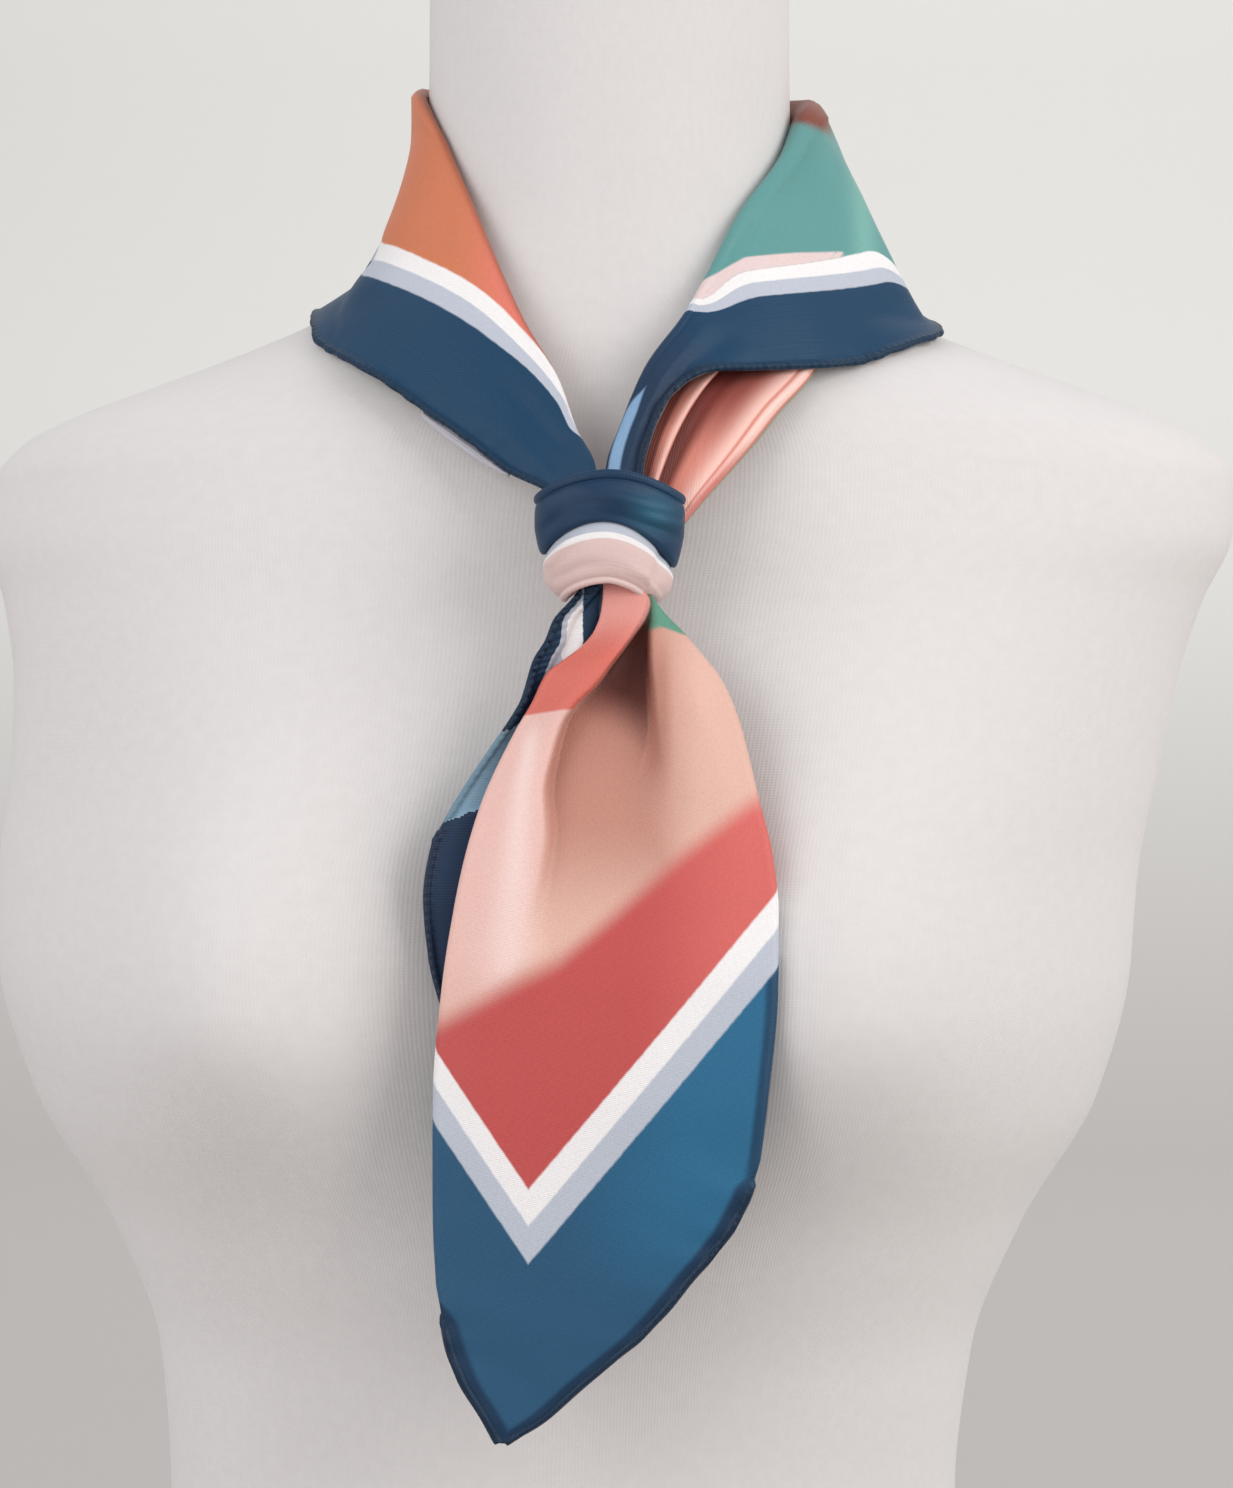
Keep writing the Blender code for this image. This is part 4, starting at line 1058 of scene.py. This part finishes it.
# Down the tail: its two edges, how far forward it hangs, its slant across, and how much cloth is
# turned back behind each edge.
TailRow = namedtuple("TailRow", "height left right depth tilt back_left back_right")
FRONT_TAIL = (
    TailRow(450.0, -1.2, 8.0, -107.5, 0, 0.4, 0.4),
    TailRow(444.0, -1.2, 10.6, -108.6, 0, 0.5, 0.6),
    TailRow(438.8, -1.7, 14.0, -109.4, 0, 0.7, 1.4),
    TailRow(434.0, -3.2, 18.0, -110.4, 0, 1.0, 4),
    TailRow(429.6, -6.2, 21.6, -111.6, 0, 2.4, 7),
    TailRow(425.5, -11.0, 25.0, -112.8, 0.5, 5, 10),
    TailRow(422.0, -15.4, 27.8, -113.8, 1, 8, 12),
    TailRow(414.0, -19.4, 31.8, -116.0, 2, 12, 15),
    TailRow(406.0, -24.0, 34.4, -118.0, 2, 16, 18),
    TailRow(388.0, -32.4, 38.6, -123.5, 3, 21, 23),
    TailRow(373.5, -36.8, 42.0, -128.0, 4, 24, 26),
    TailRow(359.0, -39.8, 43.4, -131.5, 5, 26, 27),
    TailRow(337.0, -43.0, 43.0, -135.5, 7, 27, 24),
    TailRow(310.0, -45.1, 40.4, -137.0, 7, 24, 14),
    TailRow(292.0, -45.2, 38.2, -136.2, 5, 19, 4),
    TailRow(286.0, -45.2, 37.0, -136.0, 5, 17, 0.4),
    TailRow(276.0, -45.1, 32.5, -135.5, 4, 12, 0.2),
    TailRow(262.0, -44.4, 21.5, -134.5, 3, 6, 0.2),
    TailRow(248.0, -43.2, 9.5, -133.5, 2, 0.4, 0.2),
    TailRow(236.0, -39.5, -4.8, -133.0, 1, 0.2, 0.2),
    TailRow(226.0, -33.4, -16.0, -132.5, 0, 0.2, 0.2),
    TailRow(218.4, -29.2, -27.4, -132.0, 0, 0.2, 0.2),
)
# The relief across the top: the strap's edge, the hollow behind it and the lobe's edge.
Pinch = namedtuple("Pinch", "height strap_x strap_rise hollow_from hollow_to hollow lobe_x lobe_rise")
PINCHES = (
    Pinch(450.0, 4.0, 0.8, 5.0, 6.0, 0.4, 7.0, 0.3),
    Pinch(441.0, 10.0, 1.0, 10.8, 11.3, -0.4, 12.0, 0.2),
    Pinch(437.0, 8.6, 2.0, 10.2, 10.8, -1.6, 12.2, 0.8),
    Pinch(433.0, 6.0, 3.4, 7.6, 9.8, -4.0, 11.8, 1.8),
    Pinch(429.0, 3.2, 4.4, 4.8, 9.8, -6.0, 11.8, 2.8),
    Pinch(424.0, -0.6, 5.0, 1.0, 10.0, -7.0, 12.0, 3.8),
    Pinch(419.0, -4.2, 5.2, -2.6, 10.4, -6.6, 12.6, 4.2),
    Pinch(414.0, -9.4, 5.2, -7.6, 10.6, -5.4, 13.0, 4.2),
    Pinch(409.0, -13.2, 4.8, -11.0, 10.8, -4.4, 13.4, 3.8),
    Pinch(401.0, -16.0, 4.4, -13.2, 9.4, -3.6, 14.6, 3.0),
    Pinch(390.0, -18.4, 4.0, -14.8, 5.0, -2.8, 16.0, 1.8),
    Pinch(380.0, -18.2, 3.6, -13.6, 3.0, -1.6, 18.0, 0.6),
    Pinch(366.0, -20.6, 3.0, -15.0, 2.0, -0.9, 18.0, 0.3),
    Pinch(354.0, -24.0, 2.0, -16.0, 2.0, -0.3, 18.0, 0.1),
    Pinch(338.0, -27.0, 0.9, -12.0, 2.0, 0.0, 18.0, 0.0),
    Pinch(318.0, -28.0, 0.0, -12.0, 2.0, 0.0, 18.0, 0.0),
    Pinch(218.4, -28.0, 0.0, -12.0, 2.0, 0.0, 18.0, 0.0),
)
TAIL_CREASES = (
    ((20, 425, 3.0, 0.4), (27, 405, 5.0, 0.9), (33, 380, 6.0, 0.5), (36, 360, 7.0, 0.0)),
    ((14, 405, 3.0, -0.5), (17, 388, 5.0, -1.0), (14, 366, 8.0, 0.0)),
    ((-38, 350, 4.0, 0.0), (-34, 330, 5.0, 0.7), (-35, 300, 6.0, 0.5), (-38, 270, 6.0, 0.0)),
    ((8, 300, 6.0, 0.0), (24, 288, 4.0, 0.35), (33, 284, 3.0, 0.3)),
    ((0, 282, 6.0, 0.0), (18, 274, 4.0, -0.35), (28, 270, 3.0, -0.3)),
    ((-8, 266, 6.0, 0.0), (8, 260, 4.0, 0.3), (18, 257, 3.0, 0.3)),
    ((-40, 256, 5.0, 0.4), (-24, 250, 7.0, 0.5), (-4, 246, 6.0, 0.2)),
    ((-34, 240, 4.0, -0.4), (-22, 234, 5.0, -0.4), (-12, 230, 4.0, 0.0)),
)
STRAP_END = 411.5
TROUGH_SHADED_PEACH = srgb_colour(191, 135, 119)
LIGHT_PINK = srgb_colour(230, 186, 176)
PALE_PEACH = srgb_colour(222, 178, 162)
STRAP_SALMON = srgb_colour(214, 112, 98)
STRAP_ROSE = srgb_colour(222, 150, 140)
LOBE_GREEN = srgb_colour(92, 146, 124)
HOLLOW_SHADE_BROWN = srgb_colour(104, 58, 50)
HOLLOW_SHADE_FADE = srgb_colour(168, 112, 96)
PALE_GLEAM = srgb_colour(250, 226, 220)
HEM_NAVY_AND_SHADE = srgb_colour(22, 52, 80)
CORAL_RED = srgb_colour(192, 82, 80)
BRIGHT_CORAL = srgb_colour(212, 104, 98)
TAIL_NAVY = srgb_colour(40, 84, 116)
TAIL_HIGHLIGHT_TEAL = srgb_colour(42, 104, 140)
# The mitre leans up from the tip and then stands upright; the border's lines slope away from it.
TIP_HEIGHT = 218.4
MITRE_BEND = 48.0
MITRE_ACROSS = (-28.8, -21.2)
RIGHT_SLOPE = 1.19
LEFT_SLOPE = 1.475
# The coral shape's soft upper edge: across, and its height there.
CORAL_TOP = (
    (-60, 322), (-43, 330), (-28.6, 338), (-12.9, 346), (2.9, 359), (21.3, 375), (35.8, 386), (60, 400),
)
# The painted highlight down the pale strip beside the strap: its height, its middle and half its width.
Gleam = namedtuple("Gleam", "height middle half")
GLEAMS = (
    Gleam(325, -25, 5), Gleam(350, -26, 7), Gleam(375, -24.5, 4), Gleam(392, -23, 3), Gleam(408, -20, 2.2),
)
TAIL_COLUMNS = 190
FRONT_COLUMNS = 240
EDGE_TURN = 2.2
HEM_START = 289.0
TAIL_TOP = 450.0


def tail_profile(row):
    """One level of the tail: x, y, height, whether it is turned back, its place unfolded, and the hem."""
    height, left, right, depth, tilt, back_left, back_right = row
    width = right - left
    front_x = np.linspace(left, right, FRONT_COLUMNS)
    spread = (front_x - left) / width
    bow = 2.2 * min(width / 80, 1) * np.abs(2 * spread - 1) ** 2.4
    front_y = depth + bow - tilt * (spread - 0.5)
    bends = np.linspace(0, math.pi, 14)[1:]
    flap = np.linspace(0, 1, 24)[1:]
    turned_back = []
    edges = ((-1, back_left, left, front_y[0]), (1, back_right, right, front_y[-1]))
    for side, back, edge_x, edge_y in edges:
        turn = min(EDGE_TURN, width / 10, 0.25 + back * 0.4)
        side_x = np.r_[edge_x + side * turn * 0.6 * np.sin(bends), edge_x - side * back * flap]
        flap_y = edge_y + 2 * turn + 0.5 * flap * min(back / 10, 1)
        turned_back.append((side_x, np.r_[edge_y + turn * (1 - np.cos(bends)), flap_y]))
    (left_x, left_y), (right_x, right_y) = turned_back
    x = np.r_[left_x[::-1], front_x, right_x]
    y = np.r_[left_y[::-1], front_y, right_y]
    behind = np.r_[np.ones(len(left_x)), np.zeros(FRONT_COLUMNS), np.ones(len(right_x))]
    run = run_length(np.column_stack([x, y]))
    first, last = run[len(left_x)], run[len(left_x) + FRONT_COLUMNS - 1]
    hem_steps = HEM_STEPS * min(1, run[-1] / NARROW)
    inner = np.linspace(hem_steps[-1], run[-1] - hem_steps[-1], TAIL_COLUMNS - 2 * len(hem_steps) + 2)[1:-1]
    at = np.r_[hem_steps, inner, run[-1] - hem_steps[::-1]]
    out = [np.interp(at, run, values) for values in (x, y, behind)]
    unfolded = np.where(at < first, left - (first - at), np.where(at > last, right + at - last, out[0]))
    edge = np.minimum(at, run[-1] - at)
    return np.column_stack([out[0], out[1], np.full_like(at, height), out[2], unfolded, edge])


tail_heights = np.unique(np.concatenate([
    np.arange(TAIL_TOP, 400.0, -0.6), np.arange(400.0, 290.0, -1.1), np.arange(290.0, 219.6, -1.0),
    TIP_HEIGHT + np.array([0.0, 0.5, 1.0]),
]))[::-1]
rows = eased([-row.height for row in FRONT_TAIL], FRONT_TAIL, -tail_heights)
profiles = np.array([tail_profile(row) for row in rows])
grid = profiles[..., 0:3].copy()
behind, unfolded, from_hem = profiles[..., 3], profiles[..., 4], profiles[..., 5]
pinches = eased([-row.height for row in PINCHES], PINCHES, -tail_heights)
for level, (pinch, row) in enumerate(zip(pinches, rows)):
    _, strap_x, strap_rise, hollow_from, hollow_to, hollow, lobe_x, lobe_rise = pinch
    left, right = row[1:3]
    keys = np.array([left, strap_x, hollow_from, hollow_to, lobe_x, right])
    keys = np.maximum.accumulate(keys) + np.arange(6) * 0.01
    rise = eased(keys, [0, strap_rise, hollow * 0.8, hollow, lobe_rise, 0], grid[level, :, 0])[:, 0]
    grid[level, :, 1] -= rise * (1 - behind[level])
pulled = press(grid, TAIL_CREASES, np.array([0.0, -1.0, 0.0]) * (1 - behind)[..., None])
ruffle = 0.5 * np.sin(grid[..., 2] * 0.62 + 0.8 * np.sin(grid[..., 2] * 0.23))
ruffle *= np.exp(-from_hem / 4) * smooth_step(grid[..., 2], 296, 286)
grid = pulled + ruffle[..., None] * np.array([0.2, -1.0, 0.0])
across, up = grid[..., 0], grid[..., 2]

above_tip = up - TIP_HEIGHT
aside = unfolded - np.interp(above_tip, (0, MITRE_BEND), MITRE_ACROSS)
from_right = np.clip((above_tip - RIGHT_SLOPE * aside) / math.sqrt(2), 0, None)
from_left = np.clip((above_tip + LEFT_SLOPE * aside) / math.sqrt(2), 0, None)
print_map = np.stack([from_right, from_left], axis=-1)

strap_x = pinches[:, 1:2]
off_strap = across - strap_x - 0.9
right_of_strap = smooth_step(off_strap, -0.5, 0.5)
left_of_strap = smooth_step(across, strap_x + 3.5, strap_x - 0.5)
coral_edge = np.interp(unfolded, *np.array(CORAL_TOP).T) - up
coral = tinted(CORAL_RED, BRIGHT_CORAL, smooth_step(unfolded, 4, 38))
green_line = 434.5 - 0.35 * np.abs(across - 14)
on_lobe = smooth_step(up - green_line, -0.5, 0.5) * smooth_step(off_strap, -0.2, 0.6)
# Painted shade: the deep hollow behind the strap is coloured dark brown.
hollow_low = 407 + 0.55 * np.clip(12 - across, 0, 30)
shaded_hollow = smooth_step(up - hollow_low, -9, 7) * smooth_step(across, 12.6, 9.4)
# Painted shade to the right of the strap and beside the lobe's edge.
shade_under_strap = smooth_step(off_strap, 9, 1) * ramp(up, 372, 400, 410, 424)
shade_beside_lobe = smooth_step(np.abs(across - 13.5), 4.5, 0.5) * ramp(up, 384, 402, 420, 436)
gleam_middle, gleam_half = (
    np.interp(up, [row.height for row in GLEAMS], [row[k] for row in GLEAMS]) for k in (1, 2)
)
gleam = np.exp(-((across - gleam_middle) / gleam_half) ** 2) * ramp(up, 322, 344, 402, 412)

# Painted shade: the peach is darker in the trough between the strap and the lobe, paler to the right and
# lower down.
field = tinted(TROUGH_SHADED_PEACH, PALE_PEACH, np.maximum(smooth_step(across, 8, 26), smooth_step(up, 385, 350)))
for colour, amount in (
    (LIGHT_PINK, left_of_strap * smooth_step(up, 318, 350)),
    (coral, smooth_step(coral_edge, -4.5, 4.5)),
    (LOBE_GREEN, on_lobe),
    (HOLLOW_SHADE_FADE, 0.55 * shade_under_strap * right_of_strap),
    (HOLLOW_SHADE_FADE, 0.6 * shade_beside_lobe),
    (PALE_GLEAM, 0.55 * gleam * smooth_step(coral_edge, 0, -7)),
    (HOLLOW_SHADE_BROWN, shaded_hollow * right_of_strap),
):
    field = tinted(field, colour, amount)

# Painted highlight: the navy border turns teal towards the right, where it catches the light.
border = tinted(TAIL_NAVY, TAIL_HIGHLIGHT_TEAL, smooth_step(across, -20, 25) * smooth_step(up, 245, 285))
# The rolled hem is a darker navy, partly painted shade, and the turned-back right edge gets a line of
# painted shade.
row_right = rows[:, 2:3]
shade_side = 0.8 * smooth_step(unfolded, row_right - 2.6, row_right - 1.0) * smooth_step(up, 372, 360)
hem_and_edge_shade = np.maximum(smooth_step(from_hem, 6.6, 4.4) * smooth_step(up, 296, 284), shade_side)
hem_and_edge_shade *= smooth_step(np.minimum(from_right, from_left), 34.5, 33.0)
paint = {
    "field": field,
    "border": tinted(border, HEM_NAVY_AND_SHADE, hem_and_edge_shade),
    "accent": tinted(STRAP_SALMON, STRAP_ROSE, smooth_step(up, 426, 440)),
    "apart": np.maximum(STRAP_END + 0.15 * (across + 16) - up, off_strap),
}
hem_here = smooth_step(up, HEM_START + 2, HEM_START - 2)
thickness = SILK + (hem_thickness(from_hem) - SILK) * hem_here
front_tail = silk_wall("front_tail_silk", grid, thickness, print_map, paint, from_hem + 9 * (1 - hem_here))
front_tail.data.materials.append(silk_material("front_tail_silk_twill"))
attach(front_tail, "root")
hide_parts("front_tail")


# ================================================================ back tail
# The second corner, which hangs behind the first and shows along its left: a ribbed hem and a
# pale strip at the top, the cloth's steel-blue reverse, then the navy corner turned forward.

# Down the tail: its two edges, how far forward it hangs and how deep its folds are.
BackRow = namedtuple("BackRow", "height left right depth curl")
BACK_TAIL = (
    BackRow(449.0, -5.0, -0.5, -105.4, 0.2),
    BackRow(442.0, -10.4, -0.5, -105.4, 0.3),
    BackRow(436.5, -15.2, -0.5, -105.6, 0.5),
    BackRow(431.0, -17.4, -1.5, -105.8, 0.8),
    BackRow(425.7, -20.6, -3.5, -106.2, 1.0),
    BackRow(415.0, -23.9, -7.5, -107.2, 1.2),
    BackRow(410.8, -26.2, -9.0, -107.8, 1.2),
    BackRow(402.0, -32.2, -11.0, -109.2, 1.2),
    BackRow(392.7, -38.4, -8.0, -111.0, 1.0),
    BackRow(384.0, -43.6, 0.0, -113.0, 0.9),
    BackRow(375.0, -48.0, 12.0, -114.5, 0.8),
    BackRow(362.0, -49.8, 8.0, -117.0, 0.6),
    BackRow(346.0, -48.4, 0.0, -119.0, 0.4),
    BackRow(332.0, -44.8, -14.0, -120.0, 0.2),
    BackRow(318.0, -38.6, -28.0, -120.5, 0.0),
    BackRow(311.0, -35.5, -33.5, -120.5, 0.0),
)
BACK_CORNER_NAVY = srgb_colour(36, 56, 84)
STEEL_BLUE = srgb_colour(140, 176, 198)
SHADOW_STRIP_FROM = -7.0

REVERSE_SHADE = srgb_colour(96, 128, 150)
BACK_LEVELS = 260
# The slanting line where the navy corner turns forward: across, and its height there.
TURN_LINE = ((-50, 374), (-48.2, 376), (-43.3, 382), (-38, 384.6), (-33.8, 385.8), (-20, 388))
# The navy hem beside the pale strip: the height, and how much of it shows there.
STRIP_NAVY = ((410, 3.6), (425, 4.6), (430, 4.4), (437, 2.5), (446, 2.0))

heights = np.linspace(BACK_TAIL[0].height, BACK_TAIL[-1].height, BACK_LEVELS)
rows = eased([-row.height for row in BACK_TAIL], BACK_TAIL, -heights)
grid, from_hem = [], []
for height, left, right, depth, curl in rows:
    width = right - left
    edge = HEM_STEPS * min(1, width / 8)
    at = np.r_[edge, np.linspace(edge[-1], width - edge[-1], 60)[1:-1], width - edge[::-1]]
    y = depth - curl * np.cos(at / width * 3 * math.pi)
    grid.append(np.column_stack([left + at, y, np.full_like(at, height)]))
    from_hem.append(np.minimum(at, width - at))
grid, from_hem = np.array(grid), np.array(from_hem)
across, up = grid[..., 0].copy(), grid[..., 2].copy()
in_from_left = across - rows[:, 1:2]
turn_line = np.interp(across, *np.array(TURN_LINE).T)
over_turn = smooth_step(turn_line - up, -0.6, 1.0) * smooth_step(across, -10, -20)
ribs = 0.2 * np.sin(up * 2.9 + 1.6 * np.sin(up * 0.37) - in_from_left * 0.9)
ribs *= smooth_step(in_from_left, 6, 4) * smooth_step(up, 402, 408)
shelf = smooth_step(in_from_left, 6.2, 4.8) * smooth_step(up, 404, 410)
grid[..., 1] -= over_turn * 1.3 * smooth_step(up, 340, 370) + ribs + shelf * 1.4
grid = laid_on_form(grid, LAY_GAP)
across, up = grid[..., 0], grid[..., 2]
upper = up > 407 + 0.5 * (across + 27)
lower = up < turn_line
shade_side = across > SHADOW_STRIP_FROM
navy_width = np.interp(up, *np.array(STRIP_NAVY).T)
strip = NAVY_EDGE + (in_from_left - navy_width) * (1.5 + 3.4 * smooth_step(up, 424, 431))
strip = np.where(shade_side, FAR_INSIDE, np.clip(strip, 0, 46))
printed = np.where(upper, strip, np.where(lower, 10.0, FAR_INSIDE))
print_map = np.stack([printed, np.broadcast_to(heights[:, None], printed.shape)], axis=-1)
# Painted shadow: at the top, right of the pale strip, a dark navy strip.
field = tinted(STEEL_BLUE, SHADED_NAVY, upper & shade_side)
# Painted shade: the steel-blue reverse darkens away from its left edge.
field = tinted(field, REVERSE_SHADE, smooth_step(in_from_left, 6, 14) * ~upper * 0.7)
border = tinted(KNOT_NAVY, BACK_CORNER_NAVY, lower)
paint = {"field": field, "border": border, "accent": WHITE, "apart": NO_ACCENT}
back_tail = silk_wall("back_tail_silk", grid, hem_thickness(from_hem), print_map, paint, from_hem)
back_tail.data.materials.append(silk_material("back_tail_silk_twill"))
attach(back_tail, "root")
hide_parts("back_tail")


# ================================================================ room
# A plain pale wall and floor in one sweep, painted darker towards the bottom as shade. A broad soft
# window lights from the upper right, with a weak fill from the left and a glow on the wall. The
# camera is level with the scarf's middle.

FLOOR_COLOUR = srgb_colour(228, 227, 223)
LOW_WALL_SHADE = srgb_colour(184, 180, 177)
BACKDROP_AWAY = 3.8
BACKDROP_BEND = 1.3
FLOOR_NEAR = -4.0
WALL_HEIGHT = 4.5
SWEEP_HALF = 6.0
JUST_UNDER = 0.0005

sweep = []
bend_from = BACKDROP_AWAY - BACKDROP_BEND
for away in np.linspace(FLOOR_NEAR, bend_from, 6)[:-1]:
    sweep.append((away, 0.0))
for bend in np.linspace(0, math.pi / 2, 14):
    sweep.append((bend_from + BACKDROP_BEND * math.sin(bend), BACKDROP_BEND * (1 - math.cos(bend))))
sweep.append((BACKDROP_AWAY, WALL_HEIGHT))
points, faces = [], []
for number, (away, up) in enumerate(sweep):
    points += [(-SWEEP_HALF, away, up), (SWEEP_HALF, away, up)]
    if number:
        faces.append((2 * number - 2, 2 * number - 1, 2 * number + 1, 2 * number))
room = plain_mesh("studio_sweep", np.array(points) - (0, 0, JUST_UNDER), faces)
wall_paint, tree, shader = new_material("pale_wall")
wall_map = add_node(tree, "ShaderNodeTexCoord")
wall_place = add_node(tree, "ShaderNodeSeparateXYZ", {0: wall_map.outputs["Object"]})
# Painted shade: the sweep's colour darkens towards the bottom.
up_wall = add_node(tree, "ShaderNodeMapRange", {
    "Value": wall_place.outputs[2], "From Min": -0.15, "From Max": 0.9,
}, interpolation_type="SMOOTHSTEP")
tree.links.new(blend_colour(tree, up_wall.outputs[0], LOW_WALL_SHADE, FLOOR_COLOUR), shader.inputs["Base Color"])
shader.inputs["Roughness"].default_value = 0.95
room.data.materials.append(wall_paint)


def soft_light(name, place, aim, size, watts, colour):
    """A square area light that faces its aim."""
    lamp = bpy.data.lights.new(name, "AREA")
    lamp.shape = "RECTANGLE"
    lamp.size, lamp.size_y = size
    lamp.energy = watts
    lamp.color = colour
    holder = bpy.data.objects.new(name, lamp)
    holder.location = place
    way = np.array(aim) - np.array(place)
    holder.rotation_euler = (
        math.acos(-way[2] / np.linalg.norm(way)), 0, math.atan2(way[1], way[0]) - math.pi / 2,
    )
    bpy.context.collection.objects.link(holder)


soft_light("window", (1.75, -1.05, 1.25), (0, 0, 0.42), (1.5, 1.5), 28, (1.0, 0.99, 0.975))
soft_light("fill", (-1.6, -1.5, 1.1), (0, 0, 0.4), (1.6, 1.6), 21, (0.97, 0.98, 1.0))
soft_light("wall_glow", (0.4, 1.6, 3.0), (0.3, BACKDROP_AWAY, 0.9), (3.0, 1.0), 34, (1.0, 1.0, 0.985))
world = bpy.data.worlds.new("pale_room")
world.use_nodes = True
world.node_tree.nodes["Background"].inputs["Color"].default_value = (0.97, 0.975, 1.0, 1)
world.node_tree.nodes["Background"].inputs["Strength"].default_value = 0.66
bpy.context.scene.world = world
bpy.context.scene.view_settings.view_transform = "Standard"
bpy.context.scene.view_settings.look = "None"

# The camera's place in the scarf's own frame, in millimetres like the scarf's sizes, and its lens.
CAMERA_PLACE = (2.0, -1100.0, 403.0)
LENS = 88.7
SENSOR_HEIGHT = 36.0

lens = bpy.data.cameras.new("camera")
lens.sensor_fit = "VERTICAL"
lens.sensor_height = SENSOR_HEIGHT
lens.lens = LENS
viewer = bpy.data.objects.new("camera", lens)
viewer.location = in_frame(turned(CAMERA_PLACE))[0]
viewer.rotation_euler = (math.pi / 2, 0, math.radians(SCARF_TURN))
bpy.context.collection.objects.link(viewer)
bpy.context.scene.camera = viewer
